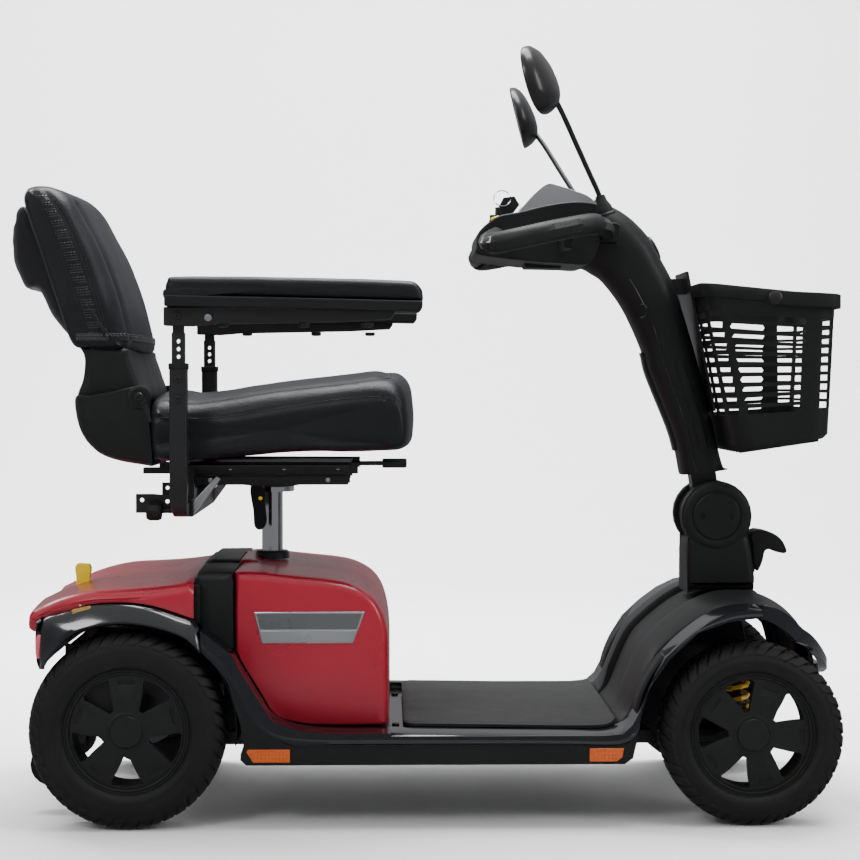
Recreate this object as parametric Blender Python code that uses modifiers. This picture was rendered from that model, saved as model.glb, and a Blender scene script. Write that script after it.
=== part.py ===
"""A four-wheeled mobility scooter: +X forward, +Y to its left, +Z up, on the ground at Z = 0.

Metres.  The right-hand side (suffix _R) is at -Y, the left-hand side (suffix _L) at +Y.
"""
import bmesh
import bpy
import math
from mathutils import Matrix, Vector

# ---------------------------------------------------------------- driving dimensions
GAP = 0.0004                      # clearance between neighbouring pieces
SIDES = {"R": -1.0, "L": 1.0}

REAR_AXLE_X = -0.427
REAR_RADIUS = 0.140
REAR_TRACK = 0.239                # middle of the tyre, from the centre plane
REAR_TYRE_WIDTH = 0.092
FRONT_AXLE_X = 0.4675
FRONT_RADIUS = 0.131
FRONT_TRACK = 0.2325
FRONT_TYRE_WIDTH = 0.085
RIM_RADIUS = 0.0885
AXLE_RADIUS = 0.008
KINGPIN_Y = 0.2025
TIE_X = 0.527                     # track rod, ahead of the beam

BODY_HALF = 0.2755                # skirts and fenders
SHROUD_HALF = 0.1995              # front tower between its two fenders
TRAY_Z = 0.092
DECK_Z = 0.128
DECK_FRONT_X = 0.262
BAND_X = (-0.3335, -0.2785)
BAND_TOP_Z = 0.3625
COVER_X = (-0.2778, -0.056)
COVER_HALF = 0.2225
WALL = 0.0032                     # moulded covers

STEER_FOOT = Vector((0.450, 0.0, 0.330))
RAKE = math.radians(15.0)
STEER_AXIS = Vector((-math.sin(RAKE), 0.0, math.cos(RAKE)))
TILT = Vector((0.448, 0.0, 0.431))
TILT_EAR_RADIUS = 0.054

POST_X = -0.2345
POST_RADIUS = 0.0163
SEAT_HALF = 0.218
RECLINE = Vector((-0.426, 0.0, 0.613))
ARM_X = -0.353
ARM_Y = 0.260
ARM_PIVOT_Z = 0.729

# ---------------------------------------------------------------- scene
for old in list(bpy.data.objects):
    bpy.data.objects.remove(old, do_unlink=True)
parts = bpy.data.collections.new("mobility_scooter")
bpy.context.scene.collection.children.link(parts)


def material(name, colour, roughness, metallic=0.0):
    mat = bpy.data.materials.new(name)
    mat.use_nodes = True
    shader = mat.node_tree.nodes["Principled BSDF"]
    shader.inputs["Base Color"].default_value = (*colour, 1.0)
    shader.inputs["Roughness"].default_value = roughness
    shader.inputs["Metallic"].default_value = metallic
    mat.diffuse_color = (*colour, 1.0)
    return mat


RED = material("gloss_red_plastic", (0.47, 0.015, 0.025), 0.15)
GLOSS = material("gloss_black_plastic", (0.012, 0.013, 0.015), 0.12)
MATTE = material("matte_grey_plastic", (0.045, 0.047, 0.05), 0.55)
TYRE = material("tyre_rubber", (0.03, 0.03, 0.032), 0.8)
MAT = material("deck_mat_rubber", (0.06, 0.062, 0.065), 0.75)
STEEL = material("black_painted_steel", (0.012, 0.012, 0.013), 0.4)
CHROME = material("chrome_steel", (0.75, 0.76, 0.78), 0.12, 1.0)
VINYL = material("black_vinyl", (0.035, 0.036, 0.04), 0.5)
FABRIC = material("black_fabric", (0.012, 0.012, 0.014), 0.9)
YELLOW = material("yellow_plastic", (0.85, 0.65, 0.01), 0.4)
SPRING = material("yellow_spring_steel", (0.75, 0.52, 0.02), 0.4)
CELL = material("battery_case_plastic", (0.02, 0.02, 0.022), 0.6)
ALLOY = material("cast_aluminium", (0.5, 0.5, 0.52), 0.45, 1.0)


# ---------------------------------------------------------------- building blocks
def place(mesh, name, mat):
    """A named object for one sub-part, with its own material."""
    obj = bpy.data.objects.new(name, mesh)
    parts.objects.link(obj)
    if mat:
        mesh.materials.clear()
        mesh.materials.append(mat)
    return obj


def from_bmesh(bm, name, mat):
    bmesh.ops.recalc_face_normals(bm, faces=bm.faces)
    mesh = bpy.data.meshes.new(name)
    bm.to_mesh(mesh)
    bm.free()
    return place(mesh, name, mat)


def box(name, mat, low, high, bevel=0.0, segments=2):
    bm = bmesh.new()
    bmesh.ops.create_cube(bm, size=1.0)
    size = [b - a for a, b in zip(low, high)]
    middle = [(a + b) / 2 for a, b in zip(low, high)]
    bmesh.ops.transform(bm, matrix=Matrix.Diagonal((*size, 1.0)), verts=bm.verts)
    obj = from_bmesh(bm, name, mat)
    obj.data.transform(Matrix.Translation(middle))
    return soften(obj, bevel, segments)


def rod(name, mat, start, end, radius, sides=16, end_radius=None):
    """A cylinder or cone from start to end."""
    start, end = Vector(start), Vector(end)
    axis = end - start
    bm = bmesh.new()
    bmesh.ops.create_cone(bm, cap_ends=True, segments=sides, radius1=radius,
                          radius2=radius if end_radius is None else end_radius, depth=axis.length)
    turn = axis.to_track_quat("Z", "Y").to_matrix().to_4x4()
    bmesh.ops.transform(bm, matrix=Matrix.Translation((start + end) / 2) @ turn, verts=bm.verts)
    return smooth(from_bmesh(bm, name, mat))


def smooth(obj, angle=35.0):
    obj.data.shade_smooth()
    obj.data.set_sharp_from_angle(angle=math.radians(angle))
    return obj


def soften(obj, width, segments=2, angle=30.0):
    if width > 0.0:
        bevel = obj.modifiers.new("edges", "BEVEL")
        bevel.width = width
        bevel.segments = segments
        bevel.limit_method = "ANGLE"
        bevel.angle_limit = math.radians(angle)
    return obj


def bake(obj):
    """Replace an object's mesh by what its modifiers make of it."""
    evaluated = obj.evaluated_get(bpy.context.evaluated_depsgraph_get())
    mesh = bpy.data.meshes.new_from_object(evaluated)
    obj.modifiers.clear()
    obj.data = mesh
    return obj


def curve_to_mesh(obj, name, mat):
    evaluated = obj.evaluated_get(bpy.context.evaluated_depsgraph_get())
    mesh = bpy.data.meshes.new_from_object(evaluated)
    mesh.transform(obj.matrix_world)
    bpy.data.objects.remove(obj, do_unlink=True)
    bm = bmesh.new()
    bm.from_mesh(mesh)
    bmesh.ops.remove_doubles(bm, verts=bm.verts, dist=0.00002)
    return from_bmesh(bm, name, mat)


def outline(name, mat, points, low, high, axis="Y", bevel=0.0, segments=2):
    """A flat outline, given in the plane across `axis` (X,Z for Y; X,Y for Z), from low to high."""
    curve = bpy.data.curves.new(name, "CURVE")
    curve.dimensions = "2D"
    curve.fill_mode = "BOTH"
    curve.extrude = (high - low) / 2
    spline = curve.splines.new("POLY")
    spline.points.add(len(points) - 1)
    for point, (u, v) in zip(spline.points, points):
        point.co = (u, v, 0.0, 1.0)
    spline.use_cyclic_u = True
    obj = bpy.data.objects.new(name, curve)
    parts.objects.link(obj)
    middle = (low + high) / 2
    if axis == "Y":
        obj.matrix_world = Matrix.Translation((0, middle, 0)) @ Matrix.Rotation(math.pi / 2, 4, "X")
    else:
        obj.matrix_world = Matrix.Translation((0, 0, middle))
    bpy.context.view_layer.update()
    return soften(curve_to_mesh(obj, name, mat), bevel, segments)


def through(points, per_span=4):
    """Points along a smooth curve that passes through the given ones (Catmull-Rom)."""
    points = [Vector(p) for p in points]
    last = len(points) - 1
    path = []
    for i in range(last):
        a, b, c, d = (points[max(0, min(last, i + k))] for k in (-1, 0, 1, 2))
        for step in range(per_span):
            t = step / per_span
            path.append(0.5 * (2 * b + (c - a) * t + (2 * a - 5 * b + 4 * c - d) * t * t
                               + (3 * b - a - 3 * c + d) * t ** 3))
    path.append(points[-1])
    return path


def tube(name, mat, path, radius, resolution=2):
    curve = bpy.data.curves.new(name, "CURVE")
    curve.dimensions = "3D"
    curve.bevel_depth = radius
    curve.bevel_resolution = resolution
    curve.use_fill_caps = True
    spline = curve.splines.new("POLY")
    spline.points.add(len(path) - 1)
    for point, place_at in zip(spline.points, path):
        point.co = (*place_at, 1.0)
    obj = bpy.data.objects.new(name, curve)
    parts.objects.link(obj)
    bpy.context.view_layer.update()
    return smooth(curve_to_mesh(obj, name, mat))


def turned(name, mat, profile, centre, outward, steps, closed=False):
    """A profile of (radius, offset) turned about the Y axis; offsets grow along `outward`."""
    mesh = bpy.data.meshes.new(name)
    verts = [(r, 0.0, u) for r, u in profile]
    edges = [(i, i + 1) for i in range(len(profile) - 1)]
    if closed:
        edges.append((len(profile) - 1, 0))
    mesh.from_pydata(verts, edges, [])
    obj = place(mesh, name, mat)
    screw = obj.modifiers.new("turn", "SCREW")
    screw.axis = "Z"
    screw.steps = steps
    screw.render_steps = steps
    screw.use_merge_vertices = True
    screw.merge_threshold = 0.00001
    bake(obj)
    obj.data.transform(Matrix.Rotation(-outward * math.pi / 2, 4, "X"))
    obj.data.transform(Matrix.Translation(centre))
    bm = bmesh.new()
    bm.from_mesh(obj.data)
    bmesh.ops.remove_doubles(bm, verts=bm.verts, dist=0.00001)
    bmesh.ops.recalc_face_normals(bm, faces=bm.faces)
    bm.to_mesh(obj.data)
    bm.free()
    return smooth(obj)


def skin(name, mat, rows, thickness):
    """An open moulded surface through rows of points, thickened inward."""
    bm = bmesh.new()
    grid = [[bm.verts.new(p) for p in row] for row in rows]
    for above, below in zip(grid, grid[1:]):
        for i in range(len(above) - 1):
            bm.faces.new((above[i], above[i + 1], below[i + 1], below[i]))
    mesh = bpy.data.meshes.new(name)
    bm.to_mesh(mesh)
    bm.free()
    obj = place(mesh, name, mat)
    solid = obj.modifiers.new("wall", "SOLIDIFY")
    solid.thickness = thickness
    solid.offset = -1.0
    solid.use_even_offset = False
    return smooth(bake(obj))


def loft(name, mat, rings):
    """A closed body through rings with the same number of points, capped at both ends."""
    bm = bmesh.new()
    loops = [[bm.verts.new(p) for p in ring] for ring in rings]
    for lower, upper in zip(loops, loops[1:]):
        for i, vert in enumerate(lower):
            j = (i + 1) % len(lower)
            bm.faces.new((vert, lower[j], upper[j], upper[i]))
    bm.faces.new(loops[0])
    bm.faces.new(loops[-1])
    return smooth(from_bmesh(bm, name, mat))


def combine(obj, others, operation):
    """Join other bodies to obj (UNION) or cut them from it (DIFFERENCE)."""
    for other in others:
        boolean = obj.modifiers.new(operation.lower(), "BOOLEAN")
        boolean.operation = operation
        boolean.solver = "EXACT"
        boolean.object = other
    bake(obj)
    for other in others:
        bpy.data.objects.remove(other, do_unlink=True)
    bm = bmesh.new()
    bm.from_mesh(obj.data)
    bmesh.ops.remove_doubles(bm, verts=bm.verts, dist=0.00002)
    bmesh.ops.dissolve_degenerate(bm, edges=bm.edges, dist=0.00001)
    bm.to_mesh(obj.data)
    bm.free()
    return obj


def join(obj, *others):
    return combine(obj, [bake(o) for o in others], "UNION")


def cut(obj, *others):
    return combine(obj, [bake(o) for o in others], "DIFFERENCE")


def mirrored(points):
    return [(x, -y, z) for x, y, z in points]


# ---------------------------------------------------------------- wheels
def wheel(end, side, axle_x, radius, track, width, steps=30):
    """Tyre, and the moulded rim with five broad spokes."""
    sign = SIDES[side]
    centre = (axle_x, sign * track, radius)
    half = width / 2
    flat = radius / math.cos(math.pi / steps)          # the tyre stands on the middle of a facet
    bore = (RIM_RADIUS + GAP) / math.cos(math.pi / steps)
    tread = [(bore, -half + 0.011), (0.55 * flat + 0.45 * RIM_RADIUS, -half),
             (flat - 0.009, -half + 0.004), (flat, -half + 0.019)]
    profile = tread + [(r, -u) for r, u in reversed(tread)]
    turned(f"{end}_tyre_{side}", TYRE, profile, centre, sign, steps, closed=True)

    face = half - 0.006
    hub = [(0.0, face), (0.0235, face), (0.027, face - 0.007), (0.078, face - 0.004),
           (RIM_RADIUS, face + 0.001), (RIM_RADIUS, -half + 0.010), (0.0835, -half + 0.010),
           (0.079, face - 0.012), (0.027, face - 0.016), (0.020, -0.005),
           (AXLE_RADIUS + 0.0008, -0.005), (AXLE_RADIUS + 0.0008, face - 0.008), (0.0, face - 0.008)]
    rim = turned(f"{end}_rim_{side}", MATTE, hub, centre, sign, 20)
    first = math.radians(126.0 if end == "rear" else 33.4)
    windows = []
    for k in range(5):
        middle = first + k * math.tau / 5
        corners = [(0.034, 0.0), (0.077, -0.31), (0.0795, 0.0), (0.077, 0.31)]
        points = [(axle_x + r * math.cos(middle + a), radius + r * math.sin(middle + a))
                  for r, a in corners]
        inner, outer = sorted((sign * (track + 0.002), sign * (track + half + 0.01)))
        windows.append(outline("window", None, points, inner, outer))
    cut(rim, *windows)


for side in SIDES:
    wheel("rear", side, REAR_AXLE_X, REAR_RADIUS, REAR_TRACK, REAR_TYRE_WIDTH)
    wheel("front", side, FRONT_AXLE_X, FRONT_RADIUS, FRONT_TRACK, FRONT_TYRE_WIDTH)


# ---------------------------------------------------------------- frame
def main_frame():
    """Rails under the deck, rear subframe, seat tube, head tube and spring seats."""
    pieces = []
    for sign in SIDES.values():
        inner, outer = sorted((sign * 0.100, sign * 0.135))
        pieces.append(box("rail", None, (-0.3007, inner, 0.0975), (0.336, outer, 0.1165)))
        inner, outer = sorted((sign * 0.1025, sign * 0.1255))
        pieces.append(box("riser", None, (-0.3003, inner, 0.103), (-0.2815, outer, 0.2405)))
        pieces.append(box("rear_rail", None, (-0.536, inner, 0.2245), (-0.288, outer, 0.245)))
        arm = [(-0.535, 0.230), (-0.508, 0.230), (-0.540, 0.060), (-0.556, 0.054), (-0.570, 0.060)]
        inner, outer = sorted((sign * 0.1045, sign * 0.1115))
        pieces.append(outline("roller_arm", None, arm, inner, outer))
        inner, outer = sorted((sign * 0.0225, sign * 0.0290))
        plate = [(0.300, 0.100), (0.345, 0.1005), (0.400, 0.150), (0.440, 0.170), (0.522, 0.172),
                 (0.500, 0.232), (0.482, 0.268), (0.440, 0.274), (0.360, 0.222), (0.306, 0.130)]
        pieces.append(outline("tower_plate", None, plate, inner, outer))
    pieces += [
        box("rear_cross", None, (-0.5335, -0.120, 0.2265), (-0.514, 0.120, 0.2432)),
        box("seat_cross", None, (-0.262, -0.110, 0.0995), (-0.207, 0.110, 0.1148)),
        box("front_cross", None, (0.3015, -0.112, 0.0992), (0.334, 0.112, 0.1152)),
        box("spring_seat", None, (0.446, -0.147, 0.2247), (0.489, 0.147, 0.2318)),
    ]
    seat_tube = rod("seat_tube", None, (POST_X, 0, 0.104), (POST_X, 0, 0.352), 0.0215, 16)
    foot = STEER_FOOT - STEER_AXIS * 0.160
    head_tube = rod("head_tube", None, foot, STEER_FOOT - STEER_AXIS * 0.036, 0.0270, 16)
    body = box("main_frame", STEEL, (-0.298, -0.104, 0.227), (-0.2835, 0.104, 0.242))
    join(body, *pieces, seat_tube, head_tube)
    bores = [rod("post_bore", None, (POST_X, 0, 0.122), (POST_X, 0, 0.40), POST_RADIUS + 0.0007, 16),
             rod("stem_bore", None, foot - STEER_AXIS * 0.05, STEER_FOOT, 0.0165, 16)]
    for sign in SIDES.values():
        bores.append(rod("damper_bore", None, (FRONT_AXLE_X, sign * 0.125, 0.20),
                         (FRONT_AXLE_X, sign * 0.125, 0.25), 0.0075, 12))
        bores.append(rod("roller_bore", None, (-0.556, sign * 0.09, 0.068),
                         (-0.556, sign * 0.13, 0.068), 0.0050, 12))
    return cut(body, *bores)


main_frame()
rollers = rod("anti_tip_rollers", TYRE, (-0.556, -0.1335, 0.068), (-0.556, -0.1135, 0.068), 0.031, 20)
join(rollers, rod("spindle", None, (-0.556, -0.1300, 0.068), (-0.556, 0.1300, 0.068), 0.0044, 12),
     rod("left_roller", None, (-0.556, 0.1135, 0.068), (-0.556, 0.1335, 0.068), 0.031, 20))


# ---------------------------------------------------------------- drive
def transaxle():
    body = rod("transaxle", ALLOY, (REAR_AXLE_X, -0.055, REAR_RADIUS),
               (REAR_AXLE_X, 0.055, REAR_RADIUS), 0.056, 20)
    tip = REAR_TRACK + REAR_TYRE_WIDTH / 2 - 0.0165
    join(body,
         rod("axle_tube", None, (REAR_AXLE_X, -0.188, REAR_RADIUS), (REAR_AXLE_X, 0.188, REAR_RADIUS),
             0.021, 16),
         rod("shafts", None, (REAR_AXLE_X, -tip, REAR_RADIUS), (REAR_AXLE_X, tip, REAR_RADIUS),
             AXLE_RADIUS, 12),
         rod("motor", None, (REAR_AXLE_X + 0.02, 0.012, 0.160), (-0.284, 0.012, 0.160), 0.044, 20),
         box("hanger", None, (-0.452, -0.048, 0.170), (-0.402, 0.048, 0.2235)))


transaxle()
for side, sign in SIDES.items():
    low, high = sorted((sign * 0.030, sign * 0.160))
    box(f"battery_{side}", CELL, (-0.262, low, DECK_Z + GAP), (-0.076, high, DECK_Z + 0.165), 0.004, 1)
freewheel = outline("freewheel_lever", YELLOW,
                    [(-0.519, 0.250), (-0.500, 0.250), (-0.4975, 0.366), (-0.5205, 0.366)],
                    -0.126, -0.114)


# ---------------------------------------------------------------- body shells
DECK_SIDE = [(-0.3222, 0.2835), (-0.2765, 0.2485), (-0.2665, 0.2275), (-0.2395, 0.1835),
             (-0.2205, 0.1545), (-0.184, 0.1408), (-0.139, 0.1366), (-0.0540, 0.1366),
             (-0.050, 0.1320), (0.252, 0.1320), (0.279, 0.1345), (0.293, 0.1475), (0.302, 0.1645),
             (0.311, 0.1875), (0.325, 0.2195), (0.340, 0.2435), (0.369, 0.2705), (0.398, 0.2915),
             (0.427, 0.3055), (0.456, 0.3105), (0.478, 0.3110)]
DECK_UNDER = [(0.478, 0.3000), (0.430, 0.2940), (0.387, 0.2790), (0.345, 0.2400), (0.316, 0.1980),
              (0.306, 0.1620), (0.301, 0.1345), (0.286, 0.1225), (0.262, 0.1180), (-0.188, 0.1180),
              (-0.212, 0.1275), (-0.234, 0.1410), (-0.254, 0.1635), (-0.270, 0.1975),
              (-0.294, 0.2325), (-0.3222, 0.2535)]
TRAY_SIDE = [(-0.266, 0.1000), (-0.257, TRAY_Z), (0.281, TRAY_Z), (0.293, 0.1000),
             (0.3010, 0.1330), (0.286, 0.1218), (0.262, 0.1175), (-0.1885, 0.1175),
             (-0.2124, 0.1270), (-0.2345, 0.1405), (-0.2545, 0.1632), (-0.2705, 0.1970),
             (-0.2850, 0.2190), (-0.276, 0.1850), (-0.265, 0.1490), (-0.261, 0.1210)]


def deck_body():
    """One gloss moulding: the deck floor and, each side, the flank from arch to arch."""
    floor = box("deck_body", GLOSS, (-0.272, -0.21, 0.1177), (DECK_FRONT_X, 0.21, DECK_Z))
    flanks = []
    for sign in SIDES.values():
        inner, outer = sorted((sign * (SHROUD_HALF + 0.0007), sign * BODY_HALF))
        flanks.append(outline("flank", None, DECK_SIDE + DECK_UNDER, inner, outer))
    join(floor, *flanks)
    cut(floor, rod("seat_tube_hole", None, (POST_X, 0, 0.10), (POST_X, 0, 0.14), 0.024, 16),
        box("cover_seat", None, (COVER_X[0] - 0.001, -COVER_HALF - GAP, DECK_Z),
            (COVER_X[1] + GAP, COVER_HALF + GAP, 0.30)))


def lower_tray():
    floor = box("lower_tray", MATTE, (-0.255, -0.245, TRAY_Z + 0.0006), (0.288, 0.245, 0.0968))
    sides = []
    for sign in SIDES.values():
        inner, outer = sorted((sign * 0.238, sign * (BODY_HALF + 0.0025)))
        sides.append(outline("tray_side", None, TRAY_SIDE, inner, outer))
    join(floor, *sides)


deck_body()
lower_tray()
box("deck_mat", MAT, (-0.032, -0.225, DECK_Z + GAP), (0.261, 0.225, 0.1335), 0.0)
cut(bpy.data.objects["deck_body"],
    box("mat_recess", None, (-0.0325, -0.2255, DECK_Z), (0.30, 0.2255, 0.1345)))

SHROUD_OUT = [(0.2625, 0.1310), (0.282, 0.1370), (0.294, 0.1500), (0.303, 0.1680), (0.312, 0.1910),
              (0.326, 0.2230), (0.342, 0.2480), (0.370, 0.2740), (0.399, 0.2950), (0.428, 0.3085),
              (0.457, 0.3130), (0.491, 0.3115), (0.524, 0.2975)]
SHROUD_IN = [(0.522, 0.2925), (0.489, 0.3065), (0.457, 0.3080), (0.430, 0.3037), (0.402, 0.2907),
             (0.373, 0.2697), (0.346, 0.2445), (0.3305, 0.2208), (0.3166, 0.1892), (0.3075, 0.1662),
             (0.298, 0.1470), (0.284, 0.1322), (0.2625, 0.1250)]
shroud = outline("front_shroud", MATTE, SHROUD_OUT + SHROUD_IN, -SHROUD_HALF, SHROUD_HALF)
cut(shroud, rod("stem_hole", None, STEER_FOOT - STEER_AXIS * 0.05, STEER_FOOT + STEER_AXIS * 0.02,
                0.032, 20))


def front_bumper():
    """The hoop that carries each front fender round the nose."""
    half = [(0.489, 0.265, 0.312), (0.519, 0.260, 0.302), (0.547, 0.244, 0.281),
            (0.571, 0.215, 0.252), (0.589, 0.171, 0.225), (0.598, 0.090, 0.206)]
    ring = half + [(0.601, 0.0, 0.200)] + mirrored(half)[::-1]
    tube("front_bumper", GLOSS, through(ring, 2), 0.0085)


front_bumper()

COVER_SIDE = [(COVER_X[0], 0.3625), (COVER_X[0], 0.2497), (-0.2660, 0.2285), (-0.2390, 0.1843),
              (-0.2200, 0.1554), (-0.1835, 0.1418), (-0.139, 0.1376), (COVER_X[1], 0.1376),
              (COVER_X[1], 0.280), (-0.0605, 0.302), (-0.072, 0.321), (-0.091, 0.336),
              (-0.117, 0.3445), (-0.184, 0.3540), (-0.242, 0.3610)]


def battery_cover():
    cover = outline("battery_cover", RED, COVER_SIDE, -COVER_HALF, COVER_HALF, bevel=0.014, segments=2)
    bake(cover)
    hollow = [(-0.30, 0.3590), (-0.30, 0.10), (COVER_X[1] - WALL, 0.10), (COVER_X[1] - WALL, 0.279),
              (-0.0637, 0.300), (-0.0744, 0.3185), (-0.0925, 0.3325), (-0.118, 0.3408),
              (-0.185, 0.3503), (-0.242, 0.3572)]
    cut(cover, outline("hollow", None, hollow, -COVER_HALF + WALL, COVER_HALF - WALL),
        rod("post_hole", None, (POST_X, 0, 0.30), (POST_X, 0, 0.40), 0.0190, 16))


def body_band():
    side = [(BAND_X[0], BAND_TOP_Z), (BAND_X[0], 0.2925), (-0.3265, 0.2875), (BAND_X[1], 0.2508),
            (BAND_X[1], BAND_TOP_Z)]
    band = outline("body_band", MATTE, side, -0.236, 0.236)
    hollow = [(BAND_X[0] - 0.01, BAND_TOP_Z - 0.005), (BAND_X[0] - 0.01, 0.20),
              (BAND_X[1] + 0.01, 0.20), (BAND_X[1] + 0.01, BAND_TOP_Z - 0.005)]
    cut(band, outline("hollow", None, hollow, -0.231, 0.231))


battery_cover()
body_band()

FENDER_TOP = [(-0.5500, 0.2935), (-0.530, 0.3035), (-0.482, 0.3200), (-0.435, 0.3232),
              (-0.393, 0.3180), (-0.352, 0.3055), (-0.3342, 0.2975), (-0.3342, 0.2905)]
FENDER_ARCH = [(-0.3235, 0.2820), (-0.3235, 0.2545), (-0.350, 0.2770), (-0.391, 0.2910),
               (-0.432, 0.2955), (-0.475, 0.2905), (-0.506, 0.2770), (-0.5360, 0.2470),
               (-0.5500, 0.2310), (-0.5560, 0.2560)]


def rear_fender():
    """Both rear arches and the tail panel between them."""
    tail = [(-0.5500, 0.2940), (-0.5440, 0.2940), (-0.5440, 0.2400), (-0.5500, 0.2330),
            (-0.5550, 0.2560)]
    panel = outline("rear_fender", GLOSS, tail, -0.20, 0.20)
    arches = []
    for sign in SIDES.values():
        inner, outer = sorted((sign * 0.190, sign * 0.284))
        arches.append(outline("arch", None, FENDER_TOP + FENDER_ARCH, inner, outer))
    join(panel, *arches)


def rear_shroud():
    """Red tail cover: a crowned skin from the band back to the rounded tail."""
    stations = [(-0.3342, 0.3490, 0.2998, 0.2680), (-0.370, 0.3470, 0.3130, 0.2690),
                (-0.405, 0.3440, 0.3215, 0.2700), (-0.435, 0.3405, 0.3255, 0.2700),
                (-0.480, 0.3330, 0.3225, 0.2690), (-0.520, 0.3235, 0.3095, 0.2640),
                (-0.552, 0.3130, 0.2985, 0.2550), (-0.572, 0.3040, 0.2980, 0.2400)]
    rows = []
    for x, top, low, half in stations:
        side = [(half, low), (half, low + 0.55 * (top - 0.006 - low)), (half - 0.012, top - 0.0045),
                (half - 0.060, top - 0.0008), (0.09, top)]
        rows.append([(x, y, z) for y, z in side] + [(x, -y, z) for y, z in reversed(side)])
    shell = skin("rear_shroud", RED, rows, WALL)
    cut(shell, box("lever_slot", None, (-0.5245, -0.1285, 0.30), (-0.466, -0.1115, 0.37)))


rear_fender()
rear_shroud()


# ---------------------------------------------------------------- front end
def front_axle():
    x = FRONT_AXLE_X
    beam = box("front_axle_beam", STEEL, (x - 0.011, -0.192, 0.118), (x + 0.011, 0.192, 0.1435))
    extras = []
    for sign in SIDES.values():
        extras += [
            rod("kingpin_boss", None, (x, sign * KINGPIN_Y, 0.1130), (x, sign * KINGPIN_Y, 0.1490),
                0.0120, 12),
            rod("lower_seat", None, (x, sign * 0.125, 0.130), (x, sign * 0.125, 0.1462), 0.0230, 14),
            rod("damper", None, (x, sign * 0.125, 0.140), (x, sign * 0.125, 0.242), 0.0068, 12)]
    join(beam, *extras)
    for side, sign in SIDES.items():
        low, high, turns, wire = 0.1462 + 0.0042, 0.2247 - 0.0042, 4.0, 0.0034
        count = int(turns * 9) + 1
        coil = [(x + 0.0165 * math.cos(math.tau * turns * i / (count - 1)),
                 sign * 0.125 + 0.0165 * math.sin(math.tau * turns * i / (count - 1)),
                 low + (high - low) * i / (count - 1)) for i in range(count)]
        tube(f"front_spring_{side}", SPRING, coil, wire, 1)
        knuckle(side, sign)
    tie = rod("tie_rod", STEEL, (TIE_X, -0.162, 0.1190), (TIE_X, 0.162, 0.1190), 0.0055, 12)
    join(tie, box("fork", None, (TIE_X - 0.003, -0.016, 0.115), (TIE_X + 0.0115, 0.016, 0.1230)),
         box("fork_plate", None, (0.5350, -0.016, 0.116), (0.5385, 0.016, 0.1740)))


def knuckle(side, sign):
    """Upper and lower ears on the kingpin, stub axle, and steering arm behind."""
    x = FRONT_AXLE_X
    lower = [(x - 0.012, 0.2235), (x + 0.012, 0.2235), (x + 0.014, 0.204), (0.534, 0.172),
             (0.534, 0.156), (0.520, 0.156), (x + 0.008, 0.188), (x - 0.012, 0.190)]
    ear = outline(f"knuckle_{side}", STEEL, [(u, sign * v) for u, v in lower], 0.1065, 0.1125, "Z")
    low, high = sorted((sign * 0.1900, sign * 0.2235))
    web_low, web_high = sorted((sign * 0.2165, sign * 0.2235))
    stub_tip = FRONT_TRACK + FRONT_TYRE_WIDTH / 2 - 0.0165
    join(ear, box("upper_ear", None, (x - 0.0120, low, 0.1495), (x + 0.0120, high, 0.1555)),
         box("web", None, (x - 0.0115, web_low, 0.1075), (x + 0.0115, web_high, 0.1545)),
         rod("stub", None, (x, sign * 0.2200, FRONT_RADIUS), (x, sign * stub_tip, FRONT_RADIUS),
             AXLE_RADIUS, 12))


front_axle()


def steering_stem():
    """Steerer with the cast head that the tiller tilts in."""
    block = [(0.4040, 0.3125), (0.5030, 0.3390), (0.5080, 0.3460), (0.5010, 0.378), (0.4040, 0.378)]
    head = outline("steering_stem", MATTE, block, -0.046, 0.046)
    ears = []
    for sign in SIDES.values():
        low, high = sorted((sign * 0.0315, sign * 0.0520))
        ears.append(rod("ear", None, (TILT.x, low, TILT.z), (TILT.x, high, TILT.z),
                        TILT_EAR_RADIUS, 24))
        low, high = sorted((sign * 0.0315, sign * 0.0455))
        ears.append(outline("cheek", None, [(0.4045, 0.370), (0.4990, 0.370), (0.4960, 0.425),
                                            (0.4045, 0.425)], low, high))
    stem = rod("stem", None, STEER_FOOT - STEER_AXIS * 0.172, STEER_FOOT + STEER_AXIS * 0.02, 0.0155, 16)
    join(head, stem, box("pitman", None, (0.484, -0.009, 0.1610), (0.5305, 0.009, 0.1680)), *ears)
    cut(head, rod("pivot_bore", None, (TILT.x, -0.06, TILT.z), (TILT.x, 0.06, TILT.z), 0.0105, 12))


steering_stem()


# ---------------------------------------------------------------- tiller
GOOSE = [(0.086, 0.8260), (0.162, 0.8155), (0.208, 0.8100), (0.248, 0.7990), (0.288, 0.7800),
         (0.343, 0.6750), (0.381, 0.5540), (0.3985, 0.4900), (0.4725, 0.5020), (0.4620, 0.5120),
         (0.4570, 0.5200), (0.4380, 0.5980), (0.4150, 0.6860), (0.3840, 0.7845), (0.3645, 0.8260),
         (0.345, 0.8620), (0.315, 0.8930), (0.284, 0.9110), (0.2665, 0.9200), (0.2630, 0.8380),
         (0.086, 0.8380)]


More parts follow.
